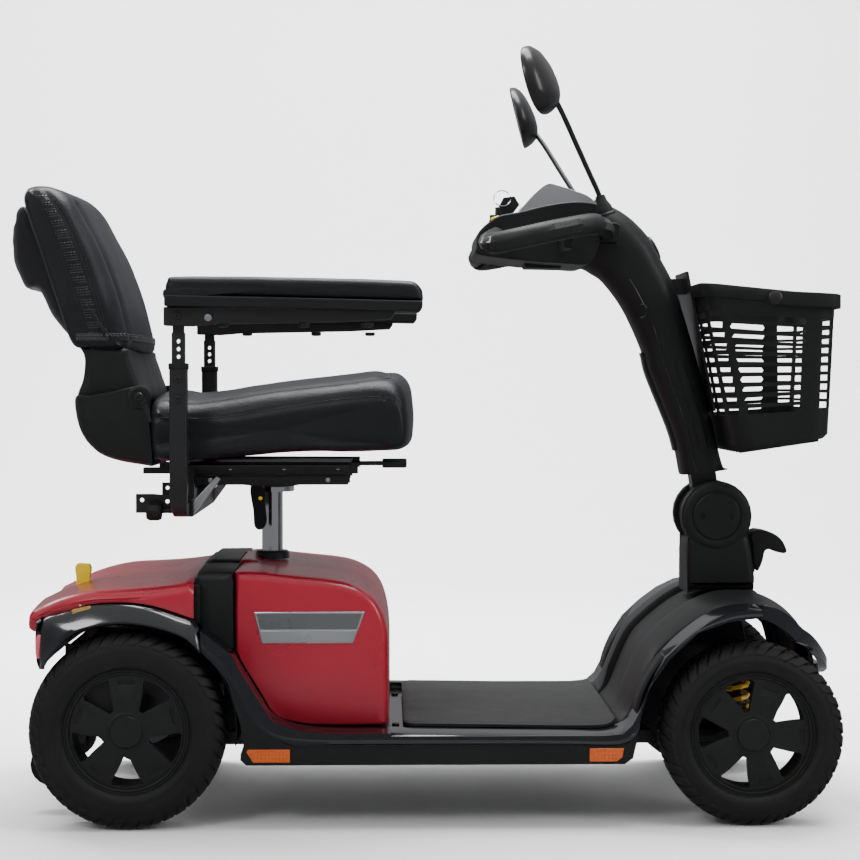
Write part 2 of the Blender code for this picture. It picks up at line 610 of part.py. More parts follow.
def tiller():
    cover = outline("tiller_cover", MATTE, GOOSE, -0.046, 0.046, bevel=0.010, segments=1)
    bake(cover)
    core = [(0.352, 0.690), (0.388, 0.5620), (0.4065, 0.470), (0.4640, 0.470), (0.4480, 0.570),
            (0.4190, 0.663), (0.3600, 0.7950), (0.3100, 0.7950)]
    cut(cover, outline("core", None, core, -0.040, 0.040),
        outline("bar_channel", None, [(0.256, 0.8435), (0.296, 0.8435), (0.296, 0.8770),
                                      (0.256, 0.8770)], -0.08, 0.08))
    barrel = rod("tiller_mast", STEEL, (TILT.x, -0.0305, TILT.z), (TILT.x, 0.0305, TILT.z), 0.047, 24)
    neck = outline("neck", None, [(0.421, 0.440), (0.460, 0.440), (0.446, 0.540), (0.352, 0.775),
                                  (0.326, 0.765), (0.403, 0.560)], -0.018, 0.018)
    pivot = rod("pivot_pin", None, (TILT.x, -0.0530, TILT.z), (TILT.x, 0.0530, TILT.z), 0.0100, 12)
    join(barrel, neck, pivot)


CONSOLE = [(0.0770, 0.8390), (0.0785, 0.8580), (0.098, 0.8780), (0.113, 0.8870), (0.144, 0.8930),
           (0.186, 0.9370), (0.249, 0.9180), (0.2615, 0.9080), (0.2615, 0.8390)]


def console():
    body = outline("console", GLOSS, CONSOLE, -0.092, 0.092, bevel=0.004, segments=1)
    bake(body)
    cut(body, box("throttle_channel", None, (0.172, -0.12, 0.8370), (0.244, 0.12, 0.8535)),
        box("horn_pocket", None, (0.0995, -0.0605, 0.8500), (0.1105, -0.0395, 0.90)),
        rod("knob_bore", None, (0.1260, 0.030, 0.870), (0.1230, 0.030, 0.91), 0.0044, 10),
        rod("key_bore", None, (0.128, -0.010, 0.870), (0.128, -0.010, 0.91), 0.0040, 10))
    box("horn_button", CELL, (0.1000, -0.0600, 0.8560), (0.1100, -0.0400, 0.8905))
    knob = rod("speed_knob", CELL, (0.1259, 0.030, 0.8720), (0.1244, 0.030, 0.8920), 0.0038, 10)
    join(knob, rod("cap", None, (0.1244, 0.030, 0.8930), (0.1230, 0.030, 0.9100), 0.0125, 16, 0.0110),
         rod("collar", None, (0.1247, 0.030, 0.8885), (0.1240, 0.030, 0.8960), 0.0038, 10))
    key = rod("ignition_key", CELL, (0.128, -0.010, 0.8720), (0.128, -0.010, 0.8960), 0.0034, 10)
    join(key, outline("key_head", None, [(0.1200, 0.8945), (0.1360, 0.8945), (0.1480, 0.9100),
                                         (0.1400, 0.9230), (0.1230, 0.9210), (0.1160, 0.9080)],
                      -0.0120, -0.0080))


def handle_loop():
    """One bar through the tiller, out and back round both sides to the console."""
    half = [(0.2765, 0.0, 0.8605), (0.2765, 0.060, 0.8605), (0.2700, 0.120, 0.8650),
            (0.2520, 0.190, 0.8660), (0.2130, 0.2330, 0.8600), (0.1500, 0.2420, 0.8460),
            (0.1000, 0.2280, 0.8370), (0.0890, 0.1800, 0.8410),
            (0.1050, 0.1200, 0.8545), (0.1060, 0.0945, 0.8560)]
    path = mirrored(half)[:0:-1] + half
    tube("handle_loop", STEEL, through(path, 2), 0.0130)


def throttle():
    bar = box("throttle_lever", CELL, (0.2010, -0.150, 0.8420), (0.2150, 0.150, 0.8505))
    paddles = []
    for sign in SIDES.values():
        low, high = sorted((sign * 0.112, sign * 0.198))
        paddles.append(box("paddle", None, (0.2000, low, 0.8310), (0.2160, high, 0.8505), 0.003, 1))
    join(bar, *paddles, rod("pivot", None, (0.208, 0, 0.8400), (0.208, 0, 0.8525), 0.0110, 12))


def mirrors():
    for side, sign in SIDES.items():
        boot = rod(f"mirror_{side}", STEEL, (0.2715, sign * 0.118, 0.8835), (0.2600, sign * 0.121, 0.9160),
                   0.0135, 12, 0.0070)
        bend = [(0.2610, sign * 0.1207, 0.9130), (0.2300, sign * 0.150, 0.9700),
                (0.1960, sign * 0.190, 1.0380), (0.1830, sign * 0.203, 1.0560)]
        stem = tube("stem", None, through(bend, 3), 0.0042, 1)
        head = bpy.data.meshes.new("head")
        bm = bmesh.new()
        bmesh.ops.create_uvsphere(bm, u_segments=16, v_segments=8, radius=1.0)
        bmesh.ops.transform(bm, matrix=Matrix.Diagonal((0.0165, 0.060, 0.0530, 1)), verts=bm.verts)
        lean = Matrix.Rotation(math.radians(-14), 3, "Y")
        bmesh.ops.rotate(bm, verts=bm.verts, cent=(0, 0, 0), matrix=lean)
        bmesh.ops.translate(bm, verts=bm.verts, vec=(0.1690, sign * 0.205, 1.0740))
        bm.to_mesh(head)
        bm.free()
        join(boot, stem, smooth(place(head, "head", None)))


tiller()
console()
handle_loop()
throttle()
mirrors()
TILT_LEVER = [(0.5110, 0.3860), (0.5120, 0.4030), (0.5200, 0.4060), (0.5400, 0.3990), (0.5540, 0.3880),
              (0.5590, 0.3740), (0.5470, 0.3800), (0.5270, 0.3870), (0.5200, 0.3640), (0.5140, 0.3500)]
outline("tilt_lever", CELL, TILT_LEVER, -0.024, 0.024)


# ---------------------------------------------------------------- basket
BASKET_RING = {"top": (0.4085, 0.6075, 0.173, 0.7820, 0.7620),
               "bottom": (0.4590, 0.6000, 0.158, 0.5320, 0.5520)}


def basket_ring(level, inset, lift):
    """A rounded rectangle at a share of the height between bottom (0) and top (1)."""
    low, high = BASKET_RING["bottom"], BASKET_RING["top"]
    rear, front, half, z_rear, z_front = (a + (b - a) * level for a, b in zip(low, high))
    rear, front, half = rear + inset, front - inset, half - inset
    corner = 0.024
    ring = []
    for cx, cy, start in ((front - corner, half - corner, 0), (rear + corner, half - corner, 90),
                          (rear + corner, -half + corner, 180), (front - corner, -half + corner, 270)):
        for step in range(4):
            angle = math.radians(start + 30 * step)
            x, y = cx + corner * math.cos(angle), cy + corner * math.sin(angle)
            z = z_rear + (z_front - z_rear) * (x - rear) / (front - rear) + lift
            ring.append((x, y, z))
    return ring


def basket():
    tub = loft("basket", MATTE, [basket_ring(0.0, 0.0, 0.0), basket_ring(1.0, 0.0, 0.0)])
    cut(tub, loft("inside", None, [basket_ring(0.0, 0.0035, 0.0035), basket_ring(1.0, 0.0035, 0.0),
                                   basket_ring(1.1, 0.0, 0.0)]))
    arm_z = 0.7600
    handle = box("basket_handle", MATTE, (0.5030, -0.1830, arm_z - 0.011), (0.6160, -0.1760, arm_z + 0.011))
    join(handle, box("left_arm", None, (0.5030, 0.1760, arm_z - 0.011), (0.6160, 0.1830, arm_z + 0.011)),
         box("bar", None, (0.6095, -0.1800, arm_z - 0.0105), (0.6175, 0.1800, arm_z + 0.0105)))


def basket_bracket():
    """Steel plate the basket hooks on, bolted to the front of the tiller."""
    plate = [(0.3985, 0.8050), (0.4025, 0.8050), (0.4455, 0.5920), (0.4412, 0.5920)]
    bracket = outline("basket_bracket", STEEL, plate, -0.060, 0.060)
    join(bracket, outline("upper_standoff", None, [(0.3806, 0.7960), (0.4015, 0.7960), (0.4060, 0.7720),
                                                   (0.3896, 0.7720)], -0.016, 0.016),
         outline("lower_standoff", None, [(0.4260, 0.6480), (0.4330, 0.6480), (0.4390, 0.6200),
                                          (0.4334, 0.6200)], -0.016, 0.016))


basket()
basket_bracket()


# ---------------------------------------------------------------- seat
def seat_base():
    post = rod("seat_post", CHROME, (POST_X, 0, 0.130), (POST_X, 0, 0.470), POST_RADIUS, 20)
    join(post, rod("flange", None, (POST_X, 0, 0.468), (POST_X, 0, 0.4795), 0.034, 20))
    base = rod("seat_swivel_base", STEEL, (POST_X, 0, 0.4800), (POST_X, 0, 0.4870), 0.050, 20)
    extras = []
    for sign in SIDES.values():
        low, high = sorted((sign * 0.098, sign * 0.122))
        extras.append(box("rail", None, (-0.345, low, 0.4832), (-0.115, high, 0.4985)))
    join(base, *extras, box("cross", None, (-0.262, -0.115, 0.4842), (-0.207, 0.115, 0.4905)))
    outline("swivel_lever", CELL, [(-0.262, 0.4795), (-0.244, 0.4795), (-0.241, 0.4250),
                                   (-0.250, 0.4130), (-0.258, 0.4200)], -0.0640, -0.0560)
    lever = rod("slide_lever", STEEL, (-0.1105, -0.110, 0.5150), (-0.060, -0.110, 0.5150), 0.0035, 10)
    join(lever, rod("grip", None, (-0.064, -0.110, 0.5150), (-0.028, -0.110, 0.5150), 0.0070, 12))


def seat_carriage():
    """Upper rails, pan and the cross tube that takes both armrests."""
    pan = box("seat_carriage", STEEL, (-0.368, -0.165, 0.5085), (-0.112, 0.165, 0.5145))
    extras = []
    for sign in SIDES.values():
        low, high = sorted((sign * 0.096, sign * 0.124))
        extras.append(box("runner", None, (-0.350, low, 0.4990), (-0.112, high, 0.5100)))
        low, high = sorted((sign * 0.150, sign * 0.164))
        extras.append(box("hanger", None, (ARM_X - 0.0125, low, 0.4600), (ARM_X + 0.0125, high, 0.5100)))
    extras.append(box("receiver", None, (ARM_X - 0.0130, -0.192, 0.4400), (ARM_X + 0.0130, 0.192, 0.4660)))
    join(pan, *extras)
    cut(pan, box("bore", None, (ARM_X - 0.0100, -0.25, 0.4430), (ARM_X + 0.0100, 0.25, 0.4630)))
    cushion = [(-0.3850, 0.5200), (-0.3850, 0.5980), (-0.345, 0.6030), (-0.255, 0.6170),
               (-0.183, 0.6320), (-0.111, 0.6450), (-0.068, 0.6480), (-0.045, 0.6360),
               (-0.033, 0.6100), (-0.027, 0.5650), (-0.033, 0.5430), (-0.050, 0.5380),
               (-0.110, 0.5350), (-0.190, 0.5320), (-0.300, 0.5220)]
    outline("seat_cushion", VINYL, cushion, -SEAT_HALF, SEAT_HALF)


def seat_shell():
    """Moulded hip shell: two cheeks joined behind and below by a curved wall."""
    outer = [(-0.402, 0.5965), (-0.408, 0.6190), (-0.417, 0.6290), (-0.430, 0.6300), (-0.511, 0.6130),
             (-0.504, 0.5670), (-0.482, 0.5370), (-0.453, 0.5230), (-0.402, 0.5155), (-0.3860, 0.5150)]
    shell = outline("seat_shell", MATTE, outer, -0.2050, 0.2050)
    inner = [(-0.3800, 0.5197), (-0.402, 0.5202), (-0.451, 0.5276), (-0.478, 0.5406), (-0.499, 0.5690),
             (-0.5055, 0.6180), (-0.500, 0.66), (-0.38, 0.66)]
    cut(shell, outline("inner", None, inner, -0.1990, 0.1990),
        rod("hinge_bore", None, (RECLINE.x, -0.21, RECLINE.z), (RECLINE.x, 0.21, RECLINE.z), 0.0070, 12))


def backrest():
    neck = [(-0.4160, 0.6030), (-0.4360, 0.5990), (-0.4560, 0.6120), (-0.4920, 0.6400), (-0.4960, 0.6770),
            (-0.5110, 0.6980), (-0.5580, 0.8300), (-0.5720, 0.8800), (-0.5640, 0.8820), (-0.5490, 0.8300),
            (-0.5020, 0.6990), (-0.4380, 0.6810), (-0.4180, 0.6280)]
    shell = outline("backrest_shell", MATTE, neck, -0.1905, 0.1905)
    join(shell, rod("hinge_pin", None, (RECLINE.x, -0.2085, RECLINE.z), (RECLINE.x, 0.2085, RECLINE.z),
                    0.0062, 12))
    cushion = [(-0.5012, 0.7000), (-0.4370, 0.6820), (-0.4220, 0.6900), (-0.4250, 0.7200),
               (-0.4410, 0.7700), (-0.4680, 0.8250), (-0.4970, 0.8720), (-0.5250, 0.9060),
               (-0.5480, 0.9200), (-0.5700, 0.9200), (-0.5830, 0.9060), (-0.5800, 0.8830),
               (-0.5635, 0.8826), (-0.5484, 0.8300)]
    outline("backrest_cushion", VINYL, cushion, -0.2050, 0.2050)
    pouch = [(-0.5825, 0.8830), (-0.5950, 0.8960), (-0.6060, 0.8880), (-0.6165, 0.8400), (-0.6140, 0.8150),
             (-0.5960, 0.7750), (-0.5780, 0.7740), (-0.5500, 0.7320), (-0.5260, 0.7030),
             (-0.5140, 0.7000), (-0.5585, 0.8250), (-0.5740, 0.8800)]
    outline("backrest_pouch", FABRIC, pouch, -0.130, 0.130)


def armrests():
    for side, sign in SIDES.items():
        low, high = sorted((sign * (ARM_Y - 0.0125), sign * (ARM_Y + 0.0125)))
        sleeve = box(f"arm_sleeve_{side}", STEEL, (ARM_X - 0.0125, low, 0.4430),
                     (ARM_X + 0.0125, high, 0.6620))
        inner, outer = sorted((sign * 0.055, sign * (ARM_Y + 0.0115)))
        join(sleeve, box("slide_bar", None, (ARM_X - 0.0096, inner, 0.4434),
                         (ARM_X + 0.0096, outer, 0.4626)))
        cut(sleeve, box("bore", None, (ARM_X - 0.0097, low + 0.0028, 0.4750),
                        (ARM_X + 0.0097, high - 0.0028, 0.70)))
        low, high = sorted((sign * (ARM_Y - 0.0093), sign * (ARM_Y + 0.0093)))
        upright = box(f"arm_upright_{side}", STEEL, (ARM_X - 0.0093, low, 0.4800),
                      (ARM_X + 0.0093, high, 0.7030))
        low, high = sorted((sign * (ARM_Y - 0.0045), sign * (ARM_Y + 0.0045)))
        join(upright, box("tongue", None, (ARM_X - 0.0080, low, 0.7000), (ARM_X + 0.0080, high, 0.7300)),
             rod("eye", None, (ARM_X, low, ARM_PIVOT_Z), (ARM_X, high, ARM_PIVOT_Z), 0.0080, 12))
        low, high = sorted((sign * 0.2300, sign * 0.2900))
        pad = box(f"armrest_{side}", VINYL, (-0.3700, low, 0.7425), (-0.0080, high, 0.7850), 0.010, 2)
        low, high = sorted((sign * (ARM_Y - 0.014), sign * (ARM_Y + 0.014)))
        join(pad, outline("channel", None, [(-0.3740, 0.7150), (-0.3740, 0.7460), (-0.0450, 0.7460),
                                            (-0.0450, 0.7210), (-0.30, 0.7150)], low, high))
        low, high = sorted((sign * (ARM_Y - 0.0055), sign * (ARM_Y + 0.0055)))
        cut(pad, box("slot", None, (-0.3900, low, 0.7000), (-0.3270, high, 0.7420)))


seat_base()
seat_carriage()
seat_shell()
backrest()
armrests()


# ---------------------------------------------------------------- pivots
def pivot(node, x, y, z):
    """Put a moving piece's origin on its joint's axis."""
    obj = bpy.data.objects[node]
    obj.data.transform(Matrix.Translation((-x, -y, -z)))
    obj.location = (x, y, z)


pivot("anti_tip_rollers", -0.556, 0, 0.068)
pivot("freewheel_lever", -0.509, -0.120, 0.262)
pivot("front_axle_beam", FRONT_AXLE_X, 0, FRONT_RADIUS)
pivot("tie_rod", TIE_X, 0, 0.119)
pivot("steering_stem", *STEER_FOOT)
for node in ("tiller_mast", "tiller_cover", "console", "handle_loop", "basket_bracket"):
    pivot(node, *TILT)
pivot("tilt_lever", 0.514, 0, 0.396)
pivot("throttle_lever", 0.208, 0, 0.8465)
pivot("speed_knob", 0.1240, 0.030, 0.897)
pivot("ignition_key", 0.128, -0.010, 0.894)
pivot("horn_button", 0.105, -0.050, 0.888)
pivot("basket", 0.459, 0, 0.532)
pivot("basket_handle", 0.513, 0, 0.760)
for node in ("seat_post", "seat_swivel_base", "seat_carriage", "seat_cushion", "seat_shell"):
    pivot(node, POST_X, 0, 0.480)
pivot("swivel_lever", -0.253, -0.060, 0.477)
pivot("slide_lever", -0.1105, -0.110, 0.515)
for node in ("backrest_shell", "backrest_cushion", "backrest_pouch"):
    pivot(node, *RECLINE)
for side, sign in SIDES.items():
    for node in (f"rear_tyre_{side}", f"rear_rim_{side}"):
        pivot(node, REAR_AXLE_X, sign * REAR_TRACK, REAR_RADIUS)
    for node in (f"front_tyre_{side}", f"front_rim_{side}"):
        pivot(node, FRONT_AXLE_X, sign * FRONT_TRACK, FRONT_RADIUS)
    pivot(f"knuckle_{side}", FRONT_AXLE_X, sign * KINGPIN_Y, FRONT_RADIUS)
    pivot(f"mirror_{side}", 0.2657, sign * 0.1195, 0.895)
    pivot(f"arm_sleeve_{side}", ARM_X, sign * ARM_Y, 0.453)
    pivot(f"arm_upright_{side}", ARM_X, sign * ARM_Y, 0.600)
    pivot(f"armrest_{side}", ARM_X, sign * ARM_Y, ARM_PIVOT_Z)
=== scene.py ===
"""Looks for the mobility scooter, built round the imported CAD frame.  Metres; +X forward, -Y to its right."""
import math

import bmesh
import bpy
import numpy as np
from mathutils import Matrix, Vector
from mathutils.bvhtree import BVHTree


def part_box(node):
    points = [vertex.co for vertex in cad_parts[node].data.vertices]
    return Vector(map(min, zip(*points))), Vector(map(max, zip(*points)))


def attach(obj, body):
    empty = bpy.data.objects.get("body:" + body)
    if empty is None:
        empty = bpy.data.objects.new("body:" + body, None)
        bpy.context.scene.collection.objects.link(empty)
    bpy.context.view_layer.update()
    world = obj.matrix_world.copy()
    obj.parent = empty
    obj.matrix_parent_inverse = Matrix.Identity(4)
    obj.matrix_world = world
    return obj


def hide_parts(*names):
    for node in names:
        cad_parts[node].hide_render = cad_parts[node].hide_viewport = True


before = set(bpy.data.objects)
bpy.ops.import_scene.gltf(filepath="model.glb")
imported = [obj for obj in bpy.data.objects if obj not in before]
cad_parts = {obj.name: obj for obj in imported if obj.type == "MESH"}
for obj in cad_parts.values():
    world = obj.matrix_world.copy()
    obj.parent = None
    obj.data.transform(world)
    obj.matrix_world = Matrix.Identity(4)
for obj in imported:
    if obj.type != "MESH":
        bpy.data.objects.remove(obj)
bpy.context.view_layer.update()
SIDES = {"R": -1.0, "L": 1.0}


# ---------------------------------------------------------------- materials
def surface(name, colour, rough, metallic=0.0, coat=0.0, mottle=0.10, mottle_scale=9.0, rough_var=0.06,
            grain="noise", grain_scale=900.0, depth=0.00008, **sockets):
    """A procedural material: mottled colour, uneven roughness and a fine relief."""
    mat = bpy.data.materials.new(name)
    mat.use_nodes = True
    nodes, links = mat.node_tree.nodes, mat.node_tree.links
    shader = nodes["Principled BSDF"]
    shader.inputs["Metallic"].default_value = metallic
    shader.inputs["Coat Weight"].default_value = coat
    shader.inputs["Coat Roughness"].default_value = 0.06
    for socket, value in sockets.items():
        shader.inputs[socket.replace("_", " ")].default_value = value
    place = nodes.new("ShaderNodeTexCoord")
    cloud = nodes.new("ShaderNodeTexNoise")
    cloud.inputs["Scale"].default_value = mottle_scale
    cloud.inputs["Detail"].default_value = 6.0
    links.new(place.outputs["Object"], cloud.inputs["Vector"])
    tint = nodes.new("ShaderNodeMix")
    tint.data_type = "RGBA"
    tint.inputs["A"].default_value = (*[c * (1.0 - mottle) for c in colour], 1.0)
    tint.inputs["B"].default_value = (*[min(1.0, c * (1.0 + mottle)) for c in colour], 1.0)
    links.new(cloud.outputs["Fac"], tint.inputs["Factor"])
    links.new(tint.outputs["Result"], shader.inputs["Base Color"])
    uneven = nodes.new("ShaderNodeMapRange")
    uneven.inputs["From Min"].default_value = 0.3
    uneven.inputs["From Max"].default_value = 0.7
    uneven.inputs["To Min"].default_value = max(0.02, rough - rough_var)
    uneven.inputs["To Max"].default_value = min(1.0, rough + rough_var)
    links.new(cloud.outputs["Fac"], uneven.inputs["Value"])
    links.new(uneven.outputs["Result"], shader.inputs["Roughness"])
    bump = nodes.new("ShaderNodeBump")
    bump.inputs["Distance"].default_value = depth
    bump.inputs["Strength"].default_value = 1.0
    links.new(relief(nodes, links, place, grain, grain_scale), bump.inputs["Height"])
    links.new(bump.outputs["Normal"], shader.inputs["Normal"])
    return mat


def relief(nodes, links, place, grain, scale):
    """The height pattern of a surface: noise, leather, weave or ribs."""
    if grain == "leather":
        cells = nodes.new("ShaderNodeTexVoronoi")
        cells.feature = "SMOOTH_F1"
        cells.inputs["Scale"].default_value = scale
        fine = nodes.new("ShaderNodeTexNoise")
        fine.inputs["Scale"].default_value = scale * 0.35
        fine.inputs["Detail"].default_value = 4.0
        links.new(place.outputs["Object"], cells.inputs["Vector"])
        links.new(place.outputs["Object"], fine.inputs["Vector"])
        total = nodes.new("ShaderNodeMath")
        total.operation = "ADD"
        links.new(cells.outputs["Distance"], total.inputs[0])
        links.new(fine.outputs["Fac"], total.inputs[1])
        return total.outputs["Value"]
    if grain in ("weave", "ribs"):
        waves = []
        for direction in (("X", "Z") if grain == "weave" else ("Z",)):
            wave = nodes.new("ShaderNodeTexWave")
            wave.bands_direction = direction
            wave.inputs["Scale"].default_value = scale
            wave.inputs["Distortion"].default_value = 0.4
            links.new(place.outputs["Object"], wave.inputs["Vector"])
            waves.append(wave.outputs["Fac"])
        if len(waves) == 1:
            return waves[0]
        product = nodes.new("ShaderNodeMath")
        product.operation = "MULTIPLY"
        links.new(waves[0], product.inputs[0])
        links.new(waves[1], product.inputs[1])
        return product.outputs["Value"]
    noise = nodes.new("ShaderNodeTexNoise")
    noise.inputs["Scale"].default_value = scale
    noise.inputs["Detail"].default_value = 3.0
    links.new(place.outputs["Object"], noise.inputs["Vector"])
    return noise.outputs["Fac"]


RED = surface("red_gloss", (0.300, 0.0055, 0.0215), 0.30, coat=0.35, mottle=0.05, rough_var=0.04,
              grain_scale=320, depth=0.00002)
GLOSS = surface("black_gloss", (0.005, 0.006, 0.008), 0.16, coat=0.5, mottle=0.2, rough_var=0.04,
                grain_scale=300,
                depth=0.00002)
MATTE = surface("grey_matte", (0.0085, 0.009, 0.0095), 0.44, grain_scale=1500, depth=0.00008,
              Specular_IOR_Level=0.28)
DARK = surface("black_matte", (0.008, 0.0085, 0.009), 0.5, grain_scale=1500, depth=0.00006,
              Specular_IOR_Level=0.25)
RAIL = surface("rail_matte", (0.016, 0.017, 0.018), 0.55, grain_scale=420, depth=0.00030)
RUBBER = surface("tyre_rubber", (0.008, 0.008, 0.0084), 0.62, mottle=0.25, mottle_scale=30,
                 grain_scale=700, depth=0.00012,
              Specular_IOR_Level=0.25)
RIM = surface("rim_plastic", (0.010, 0.0104, 0.0108), 0.42, mottle=0.12, grain_scale=1300, depth=0.00007,
              Specular_IOR_Level=0.28)
MAT = surface("mat_rubber", (0.016, 0.0165, 0.017), 0.55, mottle=0.45, mottle_scale=14, rough_var=0.12,
              grain_scale=900,
              depth=0.00020,
              Specular_IOR_Level=0.3)
VINYL = surface("vinyl", (0.007, 0.0078, 0.010), 0.40, mottle=0.15, grain="leather", grain_scale=620,
                depth=0.00030,
                Specular_IOR_Level=0.32)
CARBON = surface("ribbed_vinyl", (0.016, 0.019, 0.021), 0.36, mottle=0.2, grain="weave", grain_scale=70,
                 depth=0.0008)
THREAD = surface("thread", (0.010, 0.010, 0.011), 0.7, grain="ribs", grain_scale=300, depth=0.0003)
CLOTH = surface("cloth", (0.010, 0.010, 0.012), 0.85, mottle=0.3, grain="weave", grain_scale=240,
                depth=0.0006,
                Sheen_Weight=0.2,
              Specular_IOR_Level=0.2)
STEEL = surface("black_steel", (0.011, 0.011, 0.012), 0.34, coat=0.2, mottle=0.2, grain_scale=260,
                depth=0.00006,
              Specular_IOR_Level=0.4)
GRIP = surface("grip_rubber", (0.012, 0.0125, 0.013), 0.5, mottle=0.2, grain_scale=1100, depth=0.00020,
              Specular_IOR_Level=0.3)
CHROME = surface("chrome", (0.72, 0.73, 0.75), 0.12, metallic=1.0, rough_var=0.05, grain_scale=500,
                 depth=0.00001)
ALLOY = surface("alloy", (0.42, 0.43, 0.45), 0.42, metallic=1.0, grain_scale=700, depth=0.00015)
SILVER = surface("silver_plate", (0.62, 0.63, 0.65), 0.28, metallic=0.9, grain="ribs", grain_scale=400,
                 depth=0.00003)
GRAPHITE = surface("graphite_plate", (0.075, 0.080, 0.085), 0.30, grain_scale=800, depth=0.00004)
YELLOW = surface("yellow_plastic", (0.95, 0.70, 0.004), 0.38, mottle=0.06, grain_scale=900, depth=0.00006)
SPRING = surface("yellow_spring", (0.80, 0.50, 0.010), 0.35, coat=0.3, grain_scale=500, depth=0.00005)
AMBER = surface("amber_lens", (0.52, 0.080, 0.001), 0.16, coat=0.6, mottle=0.25, mottle_scale=60,
                grain="weave",
                grain_scale=160, depth=0.0010)
AMBER_DULL = surface("amber_marker", (0.36, 0.20, 0.05), 0.3, mottle=0.2, grain="weave", grain_scale=180,
                     depth=0.0008)
ROSE = surface("tail_lens", (0.62, 0.10, 0.13), 0.16, coat=0.5, mottle=0.2, grain="weave",
               grain_scale=150, depth=0.0010)
CLEAR = surface("clear_lens", (0.75, 0.78, 0.80), 0.10, coat=0.6, grain="weave", grain_scale=130,
                depth=0.0008)
MIRROR = surface("mirror_glass", (0.85, 0.87, 0.88), 0.04, metallic=1.0, mottle=0.02, rough_var=0.02,
                 grain_scale=60,
                 depth=0.000005)


# ---------------------------------------------------------------- building blocks
def piece(name, verts, faces, mat, body, angle=32.0):
    """A named mesh that rides on a CAD body."""
    mesh = bpy.data.meshes.new(name)
    mesh.from_pydata([tuple(map(float, v)) for v in verts], [], faces)
    obj = bpy.data.objects.new(name, mesh)
    bpy.context.scene.collection.objects.link(obj)
    tidy(obj, angle)
    mesh.materials.append(mat)
    if body:
        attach(obj, body)
    return obj


def tidy(obj, angle=32.0):
    """Merge doubles, turn normals outward and smooth up to an angle."""
    bm = bmesh.new()
    bm.from_mesh(obj.data)
    bmesh.ops.remove_doubles(bm, verts=bm.verts, dist=0.00002)
    bmesh.ops.recalc_face_normals(bm, faces=bm.faces)
    bm.to_mesh(obj.data)
    bm.free()
    obj.data.shade_smooth()
    obj.data.set_sharp_from_angle(angle=math.radians(angle))


def grid(rows, around=False, caps=False):
    """Verts and faces of a patch through rows of points; `around` closes each row into a ring."""
    rows = [list(row) for row in rows]
    width = len(rows[0])
    verts = [p for row in rows for p in row]
    faces = []
    for i in range(len(rows) - 1):
        for j in range(width if around else width - 1):
            k = (j + 1) % width
            faces.append((i * width + j, i * width + k, (i + 1) * width + k, (i + 1) * width + j))
    if caps:
        faces.append(tuple(range(width)))
        last = (len(rows) - 1) * width
        faces.append(tuple(range(last, last + width)))
    return verts, faces


def curve_through(points, count, closed=False):
    """`count` evenly spaced points on a smooth curve through the given ones; a doubled point is a corner."""
    pts = np.array(points, float)
    n = len(pts)
    fine = []
    for i in range(n if closed else n - 1):
        if closed:
            a, b, c, d = (pts[(i + k) % n] for k in (-1, 0, 1, 2))
        else:
            a, b, c, d = (pts[max(0, min(n - 1, i + k))] for k in (-1, 0, 1, 2))
        for t in np.linspace(0, 1, 12, endpoint=False):
            fine.append(0.5 * (2 * b + (c - a) * t + (2 * a - 5 * b + 4 * c - d) * t * t
                               + (3 * b - a - 3 * c + d) * t ** 3))
    fine.append(pts[0] if closed else pts[-1])
    fine = np.array(fine)
    length = np.concatenate([[0], np.cumsum(np.linalg.norm(np.diff(fine, axis=0), axis=1))])
    at = np.linspace(0, length[-1], count, endpoint=not closed)
    return np.stack([np.interp(at, length, fine[:, k]) for k in range(pts.shape[1])], axis=1)


def bevel(obj, width, segments=3, angle=30.0):
    mod = obj.modifiers.new("edges", "BEVEL")
    mod.width = width
    mod.segments = segments
    mod.limit_method = "ANGLE"
    mod.angle_limit = math.radians(angle)
    mod.harden_normals = False
    return obj


def subdivide(obj, levels=1):
    mod = obj.modifiers.new("smooth", "SUBSURF")
    mod.levels = levels
    mod.render_levels = levels
    return obj


def thicken(obj, thickness, offset=-1.0):
    mod = obj.modifiers.new("wall", "SOLIDIFY")
    mod.thickness = thickness
    mod.offset = offset
    return obj


def apply(obj, angle=32.0):
    """Turn the modifiers into the mesh itself."""
    evaluated = obj.evaluated_get(bpy.context.evaluated_depsgraph_get())
    mesh = bpy.data.meshes.new_from_object(evaluated)
    obj.modifiers.clear()
    obj.data = mesh
    tidy(obj, angle)
    return obj


def boolean(obj, others, operation="DIFFERENCE", angle=32.0):
    for other in others:
        mod = obj.modifiers.new("cut", "BOOLEAN")
        mod.operation = operation
        mod.solver = "EXACT"
        mod.object = other
    apply(obj, angle)
    for other in others:
        bpy.data.objects.remove(other, do_unlink=True)
    return obj


def join(name, objs):
    """Several loose meshes as one piece."""
    first = objs[0]
    with bpy.context.temp_override(active_object=first, selected_editable_objects=objs,
                                   selected_objects=objs):
        bpy.ops.object.join()
    first.name = name
    first.data.name = name
    return first


def extrude(name, outline, low, high, mat, body, axis="Y", width=0.0, segments=3):
    """A closed outline in the plane across `axis`, extruded from low to high, with rounded edges."""
    def at(point, depth):
        u, v = point
        return {"Y": (u, depth, v), "Z": (u, v, depth), "X": (depth, u, v)}[axis]
    verts, faces = grid([[at(p, low) for p in outline], [at(p, high) for p in outline]], around=True,
                        caps=True)
    obj = piece(name, verts, faces, mat, body)
    return bevel(obj, width, segments) if width else obj


def block(name, low, high, mat, body, width=0.001, segments=3):
    outline = [(low[0], low[2]), (high[0], low[2]), (high[0], high[2]), (low[0], high[2])]
    return extrude(name, outline, low[1], high[1], mat, body, "Y", width, segments)


def frame_along(start, end):
    """Rotation that takes +Z to the direction from start to end."""
    return (Vector(end) - Vector(start)).to_track_quat("Z", "Y").to_matrix()


